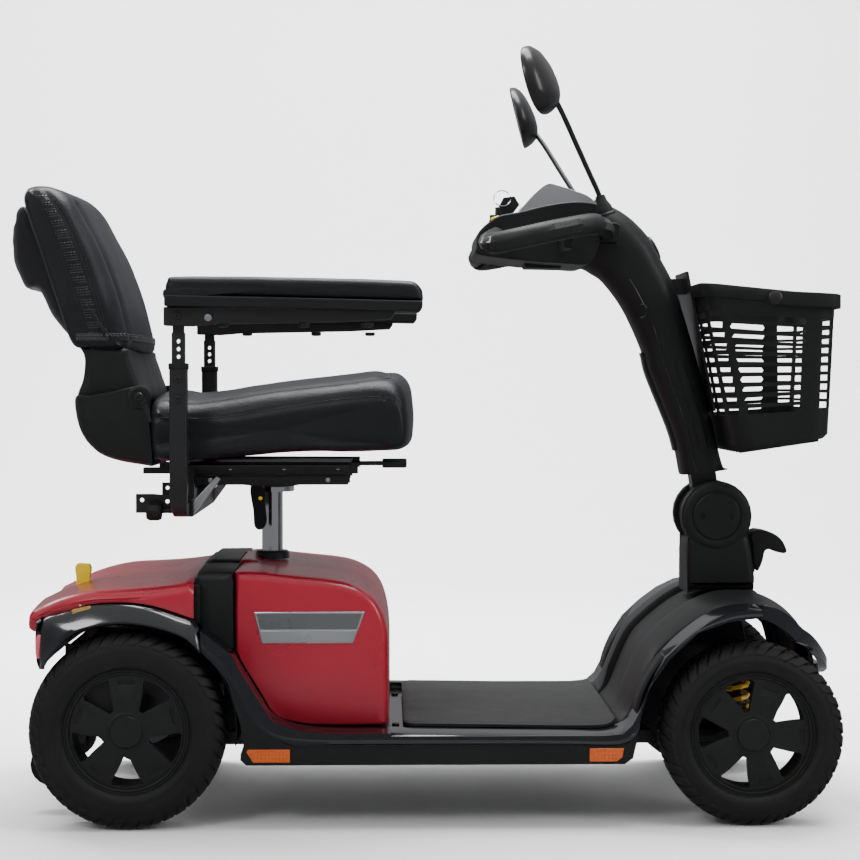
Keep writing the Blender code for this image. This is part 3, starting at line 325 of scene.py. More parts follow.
def lathe(name, profile, start, end, mat, body, steps=32, angle=32.0):
    """A profile of (radius, distance along the axis from start towards end) turned about that axis."""
    turn = frame_along(start, end)
    rows = []
    for radius, along in profile:
        ring = [turn @ Vector((radius * math.cos(a), radius * math.sin(a), along)) + Vector(start)
                for a in np.linspace(0, math.tau, steps, endpoint=False)]
        rows.append(ring)
    verts, faces = grid(rows, around=True)
    width = steps
    if profile[0][0] > 1e-6:
        faces.append(tuple(range(width)))
    if profile[-1][0] > 1e-6:
        faces.append(tuple(range(len(verts) - width, len(verts))))
    return piece(name, verts, faces, mat, body, angle)


def ring_lathe(name, profile, centre, axis, mat, body, steps=48, angle=32.0):
    """A closed profile of (radius, offset along the axis) turned into a ring."""
    centre, axis = Vector(centre), Vector(axis)
    turn = frame_along(centre, centre + axis)
    rows = [[turn @ Vector((r * math.cos(a), r * math.sin(a), u)) + centre for r, u in profile]
            for a in np.linspace(0, math.tau, steps, endpoint=False)]
    verts, faces = grid(rows + [rows[0]], around=True)
    return piece(name, verts, faces, mat, body, angle)


def sweep(name, path, section, mat, body, up=(0, 0, 1), caps=True, scale=None, angle=32.0,
          closed=False):
    """A section of (side, up) offsets carried along a path; `scale` gives (side, up) factors per point."""
    path = [Vector(p) for p in path]
    rows = []
    count = len(path)
    for i, point in enumerate(path):
        before = path[(i - 1) % count] if closed else path[max(0, i - 1)]
        after = path[(i + 1) % count] if closed else path[min(count - 1, i + 1)]
        ahead = (after - before).normalized()
        guide = Vector(up[i]) if hasattr(up[0], "__len__") else Vector(up)
        side = ahead.cross(guide).normalized()
        lift = side.cross(ahead).normalized()
        su, sv = scale[i] if scale is not None else (1.0, 1.0)
        rows.append([point + side * (u * su) + lift * (v * sv) for u, v in section])
    if closed:
        rows.append(rows[0])
    verts, faces = grid(rows, around=True, caps=caps and not closed)
    return piece(name, verts, faces, mat, body, angle)


def circle(radius, sides=12):
    return [(radius * math.cos(a), radius * math.sin(a)) for a in np.linspace(0, math.tau, sides,
                                                                              endpoint=False)]


def rounded_box(half_u, half_v, radius, steps=4):
    """A rounded rectangle as a closed list of points."""
    points = []
    for cu, cv, start in ((half_u - radius, half_v - radius, 0), (radius - half_u, half_v - radius, 90),
                          (radius - half_u, radius - half_v, 180), (half_u - radius, radius - half_v, 270)):
        for k in range(steps + 1):
            a = math.radians(start + 90 * k / steps)
            points.append((cu + radius * math.cos(a), cv + radius * math.sin(a)))
    return points


def tube(name, path, radius, mat, body, sides=12, count=None):
    if count:
        path = curve_through(path, count)
    guide = (0, 0, 1)
    direction = Vector(path[-1]) - Vector(path[0])
    if abs(direction.normalized().z) > 0.95:
        guide = (1, 0, 0)
    return sweep(name, path, circle(radius, sides), mat, body, up=guide)


def bolt(name, at, outward, radius, mat, body, height=0.003):
    """A domed screw head with a round socket."""
    start = Vector(at)
    end = start + Vector(outward)
    head = lathe(name, [(radius, 0.0), (radius, height * 0.55), (radius * 0.86, height * 0.9),
                        (radius * 0.52, height),
                        (radius * 0.45, height), (radius * 0.42, height * 0.35), (0.0, height * 0.35)],
                 start, end, mat, body, steps=18)
    return head


def normals_2d(points):
    """Outward normals of a closed outline."""
    pts = np.array(points, float)
    tangent = np.roll(pts, -1, 0) - np.roll(pts, 1, 0)
    normal = np.stack([tangent[:, 1], -tangent[:, 0]], axis=1)
    normal /= np.maximum(np.linalg.norm(normal, axis=1, keepdims=True), 1e-9)
    area = 0.5 * np.sum(pts[:, 0] * np.roll(pts[:, 1], -1) - np.roll(pts[:, 0], -1) * pts[:, 1])
    return normal if area > 0 else -normal


def pillow(name, outline, half, radius, mat, body, weight=None, crown=None, steps=6, middle=0.0,
           rows_between=7,
           angle=40.0):
    """An outline in X,Z carried from side to side, its edges rounded over `radius` at both sides.

    weight(normal) scales the rounding round the outline; crown(share, normal) moves points out along it."""
    pts = np.array(outline, float)
    normal = normals_2d(pts)
    share = np.array([weight(n) if weight else 1.0 for n in normal])[:, None]
    stations = [(half - radius + radius * math.cos(a), radius * (1 - math.sin(a)))
                for a in np.linspace(0, math.pi / 2, steps)]
    inner = [(y, 0.0) for y in np.linspace(half - radius, radius - half, rows_between + 2)[1:-1]]
    stations = stations + inner + [(-y, inset) for y, inset in reversed(stations)]
    rows = []
    for y, inset in stations:
        lift = np.array([crown(y / half, n) if crown else 0.0 for n in normal])[:, None]
        moved = pts - normal * share * inset + normal * lift
        rows.append([(p[0], middle + y, p[1]) for p in moved])
    verts, faces = grid(rows, around=True, caps=True)
    return piece(name, verts, faces, mat, body, angle)


# ---------------------------------------------------------------- stage, light and camera
def stage_sheet(name, verts, faces, mat):
    mesh = bpy.data.meshes.new(name)
    mesh.from_pydata(verts, [], faces)
    mesh.shade_smooth()
    obj = bpy.data.objects.new(name, mesh)
    bpy.context.scene.collection.objects.link(obj)
    mesh.materials.append(mat)
    return obj


FLOOR = surface("studio_floor", (0.90, 0.90, 0.90), 0.75, mottle=0.01, grain_scale=60, depth=0.0001)
cove = []
for along in np.linspace(-9, 9, 3):
    profile = [(-7.0, 0.0), (3.2, 0.0)] + [(3.2 + 1.8 * math.sin(a), 1.8 - 1.8 * math.cos(a))
                                           for a in np.linspace(0.1, math.pi / 2, 10)] + [(5.0, 7.0)]
    cove.append([(along, y, z - 0.0006) for y, z in profile])
backdrop = stage_sheet("backdrop", *grid(cove), FLOOR)
backdrop.visible_glossy = False


def softbox(name, at, aim, size_x, size_y, watts):
    light = bpy.data.lights.new(name, "AREA")
    light.shape = "RECTANGLE"
    light.size = size_x
    light.size_y = size_y
    light.energy = watts
    obj = bpy.data.objects.new(name, light)
    bpy.context.scene.collection.objects.link(obj)
    obj.location = at
    obj.rotation_euler = (Vector(aim) - Vector(at)).to_track_quat("-Z", "Y").to_euler()
    return obj


softbox("overhead", (0.2, 0.2, 3.2), (0.0, 0.0, 0.2), 2.6, 1.4, 150)
softbox("key", (-1.9, -2.8, 2.6), (0.0, 0.0, 0.4), 0.9, 0.9, 34)
softbox("front", (3.0, -1.6, 1.9), (0.0, 0.0, 0.6), 0.7, 1.8, 26)
softbox("back", (-2.4, 2.2, 2.2), (0.0, 0.0, 0.6), 0.9, 1.4, 30)
wash = softbox("backdrop_wash", (0.0, 1.2, 3.6), (0.0, 4.4, 0.6), 5.0, 0.8, 620)
wash.visible_glossy = False
world = bpy.data.worlds.new("studio")
world.use_nodes = True
sky_nodes, sky_links = world.node_tree.nodes, world.node_tree.links
sky_place = sky_nodes.new("ShaderNodeTexCoord")
sky_split = sky_nodes.new("ShaderNodeSeparateXYZ")
sky_ramp = sky_nodes.new("ShaderNodeValToRGB")
sky_ramp.color_ramp.elements[0].position = 0.08
sky_ramp.color_ramp.elements[0].color = (0.30, 0.30, 0.31, 1.0)
sky_ramp.color_ramp.elements[1].position = 0.85
sky_ramp.color_ramp.elements[1].color = (1.0, 1.0, 1.0, 1.0)
sky_links.new(sky_place.outputs["Generated"], sky_split.inputs["Vector"])
sky_links.new(sky_split.outputs["Z"], sky_ramp.inputs["Fac"])
sky_links.new(sky_ramp.outputs["Color"], sky_nodes["Background"].inputs["Color"])
sky_nodes["Background"].inputs["Strength"].default_value = 0.75
bpy.context.scene.world = world

camera = bpy.data.objects.new("camera", bpy.data.cameras.new("camera"))
bpy.context.scene.collection.objects.link(camera)
camera.data.sensor_width = 36.0
camera.data.lens = 86.4
camera.location = (-0.060, -3.2, 0.632)
camera.rotation_euler = (math.radians(90.0 - 1.25), 0.0, math.radians(-1.25))
bpy.context.scene.camera = camera


# ---------------------------------------------------------------- body covers
def soft_corner(low, high):
    """Rounding weight that fades from faces pointing up or forward to those pointing back or down."""
    def weight(n):
        return low + (high - low) * max(0.0, min(1.0, 0.35 + 0.9 * max(n[1], n[0])))
    return weight


def battery_cover():
    side = [(-0.2775, 0.3610), (-0.2775, 0.3610), (-0.2600, 0.3612), (-0.242, 0.3600), (-0.184, 0.354),
            (-0.145, 0.3500), (-0.117, 0.3450), (-0.096, 0.3365), (-0.078, 0.3235), (-0.066, 0.306),
            (-0.059, 0.285), (-0.0562, 0.262), (-0.0558, 0.200), (-0.056, 0.150), (-0.0575, 0.142),
            (-0.064, 0.1385), (-0.139, 0.1380), (-0.183, 0.142), (-0.2195, 0.1555), (-0.2385, 0.1845),
            (-0.2655, 0.2285), (-0.2755, 0.2495), (-0.2775, 0.2560), (-0.2775, 0.2560)]
    outline = [tuple(p) for p in curve_through(side[1:-1], 92)] + [(-0.2775, 0.3080)]

    def crown(share, n):
        return 0.0045 * (1 - share * share) * max(0.0, max(n[1], n[0] * 0.7))

    cover = pillow("red_cover", outline, 0.2228, 0.0135, RED, "chassis", soft_corner(0.12, 1.0), crown,
                   steps=7, rows_between=15)
    boolean(cover, [lathe("post_hole", [(0.0185, 0.0), (0.0185, 0.1)], (-0.2345, 0, 0.33), (-0.2345, 0,
                                                                                            0.43), RED,
                                                                                            None)],
            angle=38)
    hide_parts("battery_cover")


def hump(name, x_range, half, top, mat, base=0.350):
    """The raised middle of the covers just behind the seat post."""
    rows = []
    for x, share in x_range:
        height = base + (top - base) * share
        ring = []
        for y in np.linspace(-half, half, 25):
            side = abs(y) / half
            fall = 1 - max(0.0, (side - 0.66) / 0.34) ** 2.2
            ring.append((x, y, base + (height - base) * fall))
        rows.append([(x, -half - 0.004, base - 0.004)] + ring + [(x, half + 0.004, base - 0.004)])
    verts, faces = grid(rows)
    return piece(name, verts, faces, mat, "chassis", 40)


def badge(side):
    """Blank plate with a dark panel and a bright lower strip in a silver frame."""
    y = side * 0.2222
    shell = side * 0.0030

    def plate(name, top, bottom, z_top, z_bottom, depth, mat, width):
        outline = [(top[0], z_top), (top[1], z_top), (bottom[1], z_bottom), (bottom[0], z_bottom)]
        low, high = sorted((y, y + side * depth))
        return extrude(name, outline, low, high, mat, "chassis", "Y", width, 3)

    tag = "R" if side < 0 else "L"
    plate(f"badge_frame_{tag}", (-0.2490, -0.0890), (-0.2375, -0.1065), 0.3045, 0.2590, 0.0026, SILVER,
          0.0009)
    plate(f"badge_panel_{tag}", (-0.2455, -0.0935), (-0.2400, -0.1010), 0.3020, 0.2795, 0.0032, GRAPHITE,
          0.0005)
    plate(f"badge_strip_{tag}", (-0.2392, -0.1015), (-0.2358, -0.1083), 0.2775, 0.2613, 0.0032, SILVER,
          0.0005)
    return shell


def body_band():
    side = [(-0.3335, 0.3540), (-0.3325, 0.3590), (-0.3290, 0.3620), (-0.2790, 0.3625), (-0.2785, 0.2515),
            (-0.3225, 0.2850), (-0.3335, 0.2945)]
    outline = []
    for (a, b) in zip(side, side[1:] + side[:1]):
        steps = max(1, int(math.dist(a, b) / 0.012))
        outline += [(a[0] + (b[0] - a[0]) * k / steps, a[1] + (b[1] - a[1]) * k / steps) for k in range(steps)]

    def crown(share, n):
        return 0.003 * (1 - share * share) * max(0.0, n[1])

    band = pillow("band", outline, 0.2300, 0.0120, MATTE, "chassis", lambda n: max(0.0, n[1]), crown,
                  steps=6,
                  rows_between=9, angle=35)
    bevel(band, 0.0012, 2, 40)
    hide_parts("body_band")
    hump("band_hump", [(-0.3338, 0.25), (-0.3325, 0.72), (-0.3280, 0.93), (-0.3180, 1.0), (-0.2850, 1.0),
                       (-0.2805, 0.98), (-0.2796, 0.93)], 0.112, 0.3690, MATTE)
    hump("cover_hump", [(-0.2772, 0.93), (-0.2765, 0.985), (-0.2740, 1.0), (-0.2640, 1.0), (-0.2560, 0.93),
                        (-0.2500, 0.78), (-0.2440, 0.52), (-0.2380, 0.30)], 0.108, 0.3695, RED, 0.3530)


def rear_shroud():
    """Thin red cover over the back, its tip turned down, with a dished middle."""
    xs = [-0.3345, -0.3362, -0.352, -0.393, -0.435, -0.482, -0.520, -0.545, -0.560, -0.5685]
    crest = [0.3505, 0.3522, 0.3490, 0.3445, 0.3420, 0.3395, 0.3310, 0.3205, 0.3120, 0.3080]
    lower = [0.2992, 0.2995, 0.3070, 0.3200, 0.3250, 0.3220, 0.3085, 0.3000, 0.3030, 0.3050]
    half = [0.2560, 0.2600, 0.2620, 0.2630, 0.2635, 0.2620, 0.2560, 0.2440, 0.2280, 0.2160]
    rows = []
    for x, top, low, wide in zip(*(curve_through([(a, b) for a, b in zip(xs, values)], 40)[:, 1] if k else
                                   curve_through([(a, 0.0) for a in xs], 40)[:, 0]
                                   for k, values in enumerate((xs, crest, lower, half)))):
        ring = []
        edge = top - 0.0130
        for y in np.linspace(-1, 1, 41):
            share = abs(y)
            dish = 0.010 * max(0.0, 1 - (share / 0.42) ** 4) * max(0.0, min(1.0, (-0.352 - x) / 0.03))
            ring.append((x, y * (wide - 0.016), top + 0.003 * (1 - share ** 2) - dish - 0.004 * share ** 3))
        rim = [(wide - 0.016 + 0.016 * math.sin(a), edge - 0.004 + 0.0130 * math.cos(a))
               for a in np.linspace(0.25, math.pi / 2, 6)]
        left = [(x, y, z) for y, z in rim] + [(x, wide + 0.0006, (edge + low) / 2), (x, wide - 0.001, low)]
        right = [(px, -py, pz) for px, py, pz in reversed(left)]
        rows.append(right + ring + left)
    for dx, dz in ((-0.0030, -0.0040), (-0.0025, -0.0085), (0.0020, -0.0120), (0.0120, -0.0125)):
        rows.append([(x + dx, y, z + dz) for x, y, z in rows[39]])
    verts, faces = grid(rows)
    shroud = piece("shroud", verts, faces, RED, "chassis", 32)
    thicken(shroud, 0.0028, -1.0)
    apply(shroud, 34)
    bevel(shroud, 0.0010, 2, 40)
    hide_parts("rear_shroud")


def rear_fender():
    """Gloss fender with a rolled lip round the wheel arch, and the tail panel between its sides."""
    top = [(-0.3240, 0.2840), (-0.3330, 0.2960), (-0.352, 0.3040), (-0.393, 0.3175), (-0.435, 0.3225),
           (-0.482, 0.3195), (-0.520, 0.3070), (-0.547, 0.2960), (-0.5520, 0.2560), (-0.5500, 0.2310)]
    lip = [(-0.3215, 0.2520), (-0.3330, 0.2650), (-0.350, 0.277), (-0.391, 0.290), (-0.432, 0.295),
           (-0.475, 0.290), (-0.506, 0.277), (-0.534, 0.247), (-0.5400, 0.2370), (-0.5450, 0.2310)]
    upper, under = curve_through(top, 44), curve_through(lip, 44)
    for tag, side in SIDES.items():
        rows = []
        for (xa, za), (xb, zb) in zip(upper, under):
            section = [(0.2560, 0.0), (0.2615, 0.02), (0.2670, 0.12), (0.2725, 0.34), (0.2765, 0.60),
                       (0.2800, 0.80),
                       (0.2815, 0.92), (0.2805, 0.985), (0.2770, 1.0), (0.2735, 0.985)]
            ring = [(xa + (xb - xa) * t, side * y, za + (zb - za) * t) for y, t in section]
            inward = (xb + 0.427, zb - 0.150)
            size = math.hypot(*inward)
            rise = (inward[0] / size, inward[1] / size)
            ring += [(xb + rise[0] * 0.010, side * 0.262, zb + rise[1] * 0.010),
                     (xb + rise[0] * 0.008, side * 0.235, zb + rise[1] * 0.008),
                     (xb + rise[0] * 0.008, side * 0.1900, zb + rise[1] * 0.008)]
            rows.append(ring)
        verts, faces = grid(rows)
        fender = piece(f"fender_{tag}", verts, faces, GLOSS, "chassis", 40)
        thicken(fender, 0.0014, 0.0)
    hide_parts("rear_fender")
    tail = [(-0.5480, 0.2960), (-0.5535, 0.2900), (-0.5545, 0.2560), (-0.5510, 0.2310), (-0.5440, 0.2300)]
    rows = []
    for y in np.linspace(-0.262, 0.262, 25):
        curve = 0.012 * (1 - min(1.0, abs(y) / 0.262) ** 4)
        rows.append([(x - curve, y, z) for x, z in curve_through(tail, 12)])
    verts, faces = grid(rows)
    thicken(piece("tail_panel", verts, faces, GLOSS, "chassis", 40), 0.0025, 1.0)
    for tag, side in SIDES.items():
        lens = [(-0.5410, 0.2780), (-0.5550, 0.2775), (-0.5570, 0.2600), (-0.5555, 0.2430), (-0.5420,
                                                                                             0.2430)]
        low, high = sorted((side * 0.205, side * 0.2665))
        extrude(f"tail_lamp_{tag}", lens, low, high, ROSE, "chassis", "Y", 0.003, 3)
        marker = [(-0.5050, 0.3130), (-0.4780, 0.3190), (-0.4770, 0.3110), (-0.5030, 0.3050)]
        low, high = sorted((side * 0.2600, side * 0.2695))
        extrude(f"marker_{tag}", marker, low, high, AMBER_DULL, "chassis", "Y", 0.0015, 3)


def reflector_grid(name, x_range, y, side, rear):
    """Amber reflector set in the rail, one end slanted and round."""
    low, high = 0.0960, 0.1150
    outline = [(x_range[0], low), (x_range[1], low), (x_range[1], high), (x_range[0], high)]
    if rear:
        outline = [(x_range[0] + 0.010, low), (x_range[1], low), (x_range[1], high), (x_range[0] + 0.002,
                                                                                      high),
                   (x_range[0], high - 0.004)]
    else:
        outline = [(x_range[0], low), (x_range[1] - 0.010, low), (x_range[1] - 0.002, low + 0.006),
                   (x_range[1], high), (x_range[0], high)]
    span = sorted((side * (y - 0.004), side * (y + 0.0022)))
    return extrude(name, outline, span[0], span[1], AMBER, "chassis", "Y", 0.0010, 3)


def side_rails():
    """Rough grey rail under each flank with a reflector at both ends."""
    for tag, side in SIDES.items():
        rail = [(-0.2660, 0.1060), (-0.2645, 0.0990), (-0.2580, 0.0930), (-0.2480, 0.0920), (0.2760, 0.0920),
                (0.2860, 0.0940), (0.2920, 0.1010), (0.2935, 0.1180), (-0.2620, 0.1180)]
        low, high = sorted((side * 0.2500, side * 0.2774))
        extrude(f"rail_{tag}", rail, low, high, RAIL, "chassis", "Y", 0.0028, 4)
        reflector_grid(f"reflector_rear_{tag}", (-0.2570, -0.1950), 0.2774, side, True)
        reflector_grid(f"reflector_front_{tag}", (0.2310, 0.2800), 0.2774, side, False)


def flank():
    """The gloss side of the floor: it rises to the fender at each end and rolls under at its lower edge."""
    top = [(-0.3215, 0.2850), (-0.3020, 0.2690), (-0.2790, 0.2510), (-0.2665, 0.2290), (-0.2395, 0.1850),
           (-0.2200, 0.1570), (-0.1840, 0.1430), (-0.1390, 0.1385), (-0.0600, 0.1380), (-0.0200, 0.1372),
           (0.1000, 0.1355), (0.2000, 0.1340), (0.2450, 0.1330), (0.2620, 0.1345), (0.2820, 0.1395),
           (0.2960, 0.1500),
           (0.3050, 0.1670), (0.3140, 0.1900), (0.3280, 0.2220), (0.3430, 0.2465), (0.3710, 0.2730),
           (0.4000, 0.2940),
           (0.4290, 0.3080), (0.4580, 0.3130), (0.4780, 0.3125)]
    lip = [(-0.3205, 0.2515), (-0.3060, 0.2370), (-0.2900, 0.2180), (-0.2720, 0.1860), (-0.2550, 0.1560),
           (-0.2420, 0.1380), (-0.2150, 0.1230), (-0.1700, 0.1200), (-0.0600, 0.1200), (-0.0200, 0.1200),
           (0.1000, 0.1200), (0.2000, 0.1195), (0.2550, 0.1180), (0.2800, 0.1190), (0.2950, 0.1260),
           (0.3020, 0.1370),
           (0.3060, 0.1630), (0.3160, 0.1990), (0.3280, 0.2210), (0.3450, 0.2410), (0.3640, 0.2620),
           (0.3870, 0.2800),
           (0.4300, 0.2950), (0.4580, 0.2995), (0.4780, 0.3005)]
    inner = [0.2300, 0.2280, 0.2235, 0.2228, 0.2225, 0.2225, 0.2225, 0.2225, 0.2225, 0.2240, 0.2258,
             0.2240, 0.2190,
             0.2100, 0.2040, 0.2012, 0.2005, 0.2005, 0.2005, 0.2005, 0.2005, 0.2005, 0.2005, 0.2005, 0.2005]
    count = 120
    upper = curve_through([(x, z, y) for (x, z), y in zip(top, inner)], count)
    under = curve_through(lip, count)
    for tag, side in SIDES.items():
        rows = []
        for (xa, za, start), (xb, zb) in zip(upper, under):
            out = 0.2762
            section = [(start, 0.0, -0.0060), (start, 0.0, 0.0), (start + 0.18 * (out - start), 0.0, 0.0004),
                       (start + 0.55 * (out - start), 0.03, 0.0), (out - 0.0150, 0.10, 0.0),
                       (out - 0.0068, 0.22, 0.0),
                       (out - 0.0022, 0.42, 0.0), (out, 0.68, 0.0), (out + 0.0012, 0.86, 0.0), (out,
                                                                                                0.965, 0.0),
                       (out - 0.0042, 1.0, 0.0), (out - 0.0120, 0.97, 0.0)]
            rows.append([(xa + (xb - xa) * t, side * y, za + (zb - za) * t + lift) for y, t,
                         lift in section])
        verts, faces = grid(rows)
        piece(f"flank_{tag}", verts, faces, GLOSS, "chassis", 50)


def front_end():
    """Two matte strips run up and over the front with a recessed dark panel between them."""
    seam = [(0.2480, 0.1280), (0.2530, 0.1262), (0.2650, 0.1295), (0.279, 0.135), (0.293, 0.148), (0.302,
                                                                                                   0.165),
                                                                                                   (0.311,
                                                                                                    0.188),
            (0.325, 0.220), (0.340, 0.244), (0.369, 0.271), (0.398, 0.292), (0.427, 0.306), (0.456, 0.311),
            (0.491, 0.309), (0.523, 0.2950), (0.5480, 0.2720), (0.5640, 0.2450), (0.5700, 0.2200),
            (0.5710, 0.2080)]
    path = curve_through(seam, 72)
    tangent = np.gradient(path, axis=0)
    normal = np.stack([-tangent[:, 1], tangent[:, 0]], axis=1)
    normal /= np.linalg.norm(normal, axis=1, keepdims=True)
    for tag, side in SIDES.items():
        rows = []
        for i, (p, n) in enumerate(zip(path, normal)):
            along = i / (len(path) - 1)
            lift = 0.0115 * min(1.0, along / 0.18) * (1.0 if along < 0.9 else (1 - along) / 0.1)
            narrow = max(0.0, (along - 0.80) / 0.20)
            outer = 0.2000 - 0.030 * narrow ** 2
            section = [(outer, -0.005), (outer, 0.0006), (outer - 0.003, 0.0024), (0.150,
                                                                                   0.45 * lift + 0.002),
                       (0.112, 0.92 * lift + 0.001), (0.0960, lift), (0.0905, lift - 0.0004), (0.0890,
                                                                                               lift - 0.0030),
                       (0.0880, lift - 0.012)]
            rows.append([(p[0] + n[0] * h, side * y, p[1] + n[1] * h) for y, h in section])
        verts, faces = grid(rows)
        piece(f"front_strip_{tag}", verts, faces, MATTE, "chassis", 32)
    rows = []
    for p, n in zip(path, normal):
        rows.append([(p[0] + n[0] * h, y, p[1] + n[1] * h) for y, h in
                     ((-0.0895, -0.004), (-0.0860, 0.0010), (-0.0800, 0.0018), (0.0, 0.0032), (0.0800,
                                                                                               0.0018),
                      (0.0860, 0.0010), (0.0895, -0.004))])
    verts, faces = grid(rows)
    panel = piece("front_panel", verts, faces, DARK, "chassis", 32)
    thicken(panel, 0.002)
    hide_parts("front_shroud")


def front_hoop():
    """A flat band that carries the fender line round the nose."""
    half = [(0.4790, 0.2690, 0.3075, 0.0100), (0.4950, 0.2685, 0.3030, 0.0105), (0.5150, 0.2640, 0.2900,
                                                                                 0.0108),
            (0.5310, 0.2540, 0.2745, 0.0106), (0.5490, 0.2400, 0.2640, 0.0085), (0.5680, 0.2150, 0.2460,
                                                                                 0.0072),
            (0.5870, 0.1730, 0.2230, 0.0066), (0.5970, 0.1200, 0.2100, 0.0062), (0.6025, 0.0600, 0.1990,
                                                                                 0.0065)]
    ring = half + [(0.6045, 0.0, 0.1985, 0.0065)] + [(x, -y, z, r) for x, y, z, r in reversed(half)]
    path = curve_through(ring, 90)
    hoop = sweep("hoop", [p[:3] for p in path], rounded_box(0.0050, 1.0, 0.0035), GLOSS, "chassis",
                 scale=[(1.0, p[3]) for p in path], angle=50)
    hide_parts("front_bumper")


def floor_mat():
    """Rubber mat with rounded corners, its front edge curling up the slope."""
    long, wide, corner = 0.3090, 0.2170, 0.020
    path = curve_through([(-0.0330, 0.1412), (-0.0100, 0.1412), (0.1000, 0.1395), (0.2000, 0.1378),
                          (0.2440, 0.1378),
                          (0.2640, 0.1402), (0.2760, 0.1460)], 60)
    tangent = np.gradient(path, axis=0)
    rows = []
    for i, (p, t) in enumerate(zip(path, tangent)):
        n = np.array([-t[1], t[0]]) / np.linalg.norm(t)
        s = i / (len(path) - 1) * long
        gap = min(s, long - s)
        cut = corner - math.sqrt(max(0.0, corner ** 2 - (corner - gap) ** 2)) if gap < corner else 0.0
        reach = wide - cut
        edge = 0.0024 if 0 < i < len(path) - 1 else 0.0008
        row = [(p[0] - n[0] * 0.004, -reach, p[1] - n[1] * 0.004)]
        for y in np.linspace(-reach, reach, 55):
            inside = reach - abs(y)
            h = edge * min(1.0, inside / 0.004) if inside < 0.004 else edge
            row.append((p[0] + n[0] * h, y, p[1] + n[1] * h))
        row.append((p[0] - n[0] * 0.004, reach, p[1] - n[1] * 0.004))
        rows.append(row)
    verts, faces = grid(rows)
    mat = piece("floor_mat", verts, faces, MAT, "chassis", 32)
    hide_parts("deck_mat")


def arch_liners():
    """Dark inner arches over the wheels, and a filler behind the band."""
    arches = (("rear", -0.427, 0.140, 0.1565, 0.190, 0.2660, -8, 138), ("front", 0.4675, 0.131, 0.1700,
                                                                        0.2005, 0.2620, 96, 182))
    for kind, x, z, radius, inner, outer, start, end in arches:
        for tag, side in SIDES.items():
            rows = []
            for a in np.radians(np.linspace(start, end, 40)):
                rows.append([(x + radius * math.cos(a), side * y,
                              z + radius * math.sin(a)) for y in (inner, outer)])
            verts, faces = grid(rows)
            thicken(piece(f"{kind}_arch_{tag}", verts, faces, DARK, "chassis"), 0.0018, -1.0)
    block("well_filler", (-0.3750, -0.1400, 0.2450), (-0.3300, 0.1400, 0.2800), DARK, "chassis", 0.001)
    block("band_filler", (-0.3400, -0.2480, 0.2920), (-0.3250, 0.2480, 0.3460), DARK, "chassis", 0.001)


battery_cover()
body_band()
rear_shroud()
rear_fender()
flank()
side_rails()
front_end()
front_hoop()
floor_mat()
arch_liners()
for badge_side in SIDES.values():
    badge(badge_side)


# ---------------------------------------------------------------- wheels
def tread_blocks(base, half_width, count):
    """Raised angled blocks from the middle of the tread over the shoulder, both halves, round a Y axis."""
    verts, faces = [], []
    stations = [(0.0025, 0.0, 1.0), (0.0160, 0.0002, 1.0), (0.0280, 0.0010, 1.0), (half_width - 0.0100,
                                                                                   0.0040, 0.95),
                (half_width - 0.0050, 0.0085, 0.80), (half_width - 0.0020, 0.0125, 0.40)]
    pitch = math.tau / count
    for side in (-1, 1):
        for k in range(count):
            middle = pitch * (k + (0.5 if side > 0 else 0.0))
            rows = []
            for n, (offset, drop, tall) in enumerate(stations):
                lean = 1.10 * pitch * n / (len(stations) - 1)
                wide = pitch * (0.37 if n % 2 else 0.40)
                low, high = base - drop - 0.002, base - drop + 0.0030 * tall
                ring = []
                for radius, swing in ((low, -wide), (high, -wide * 0.86), (high, wide * 0.86), (low, wide)):
                    a = middle + lean + swing
                    ring.append((radius * math.cos(a), side * offset, radius * math.sin(a)))
                rows.append(ring)
            v, f = grid(rows, around=True, caps=True)
            faces += [tuple(i + len(verts) for i in face) for face in f]
            verts += v
    return verts, faces


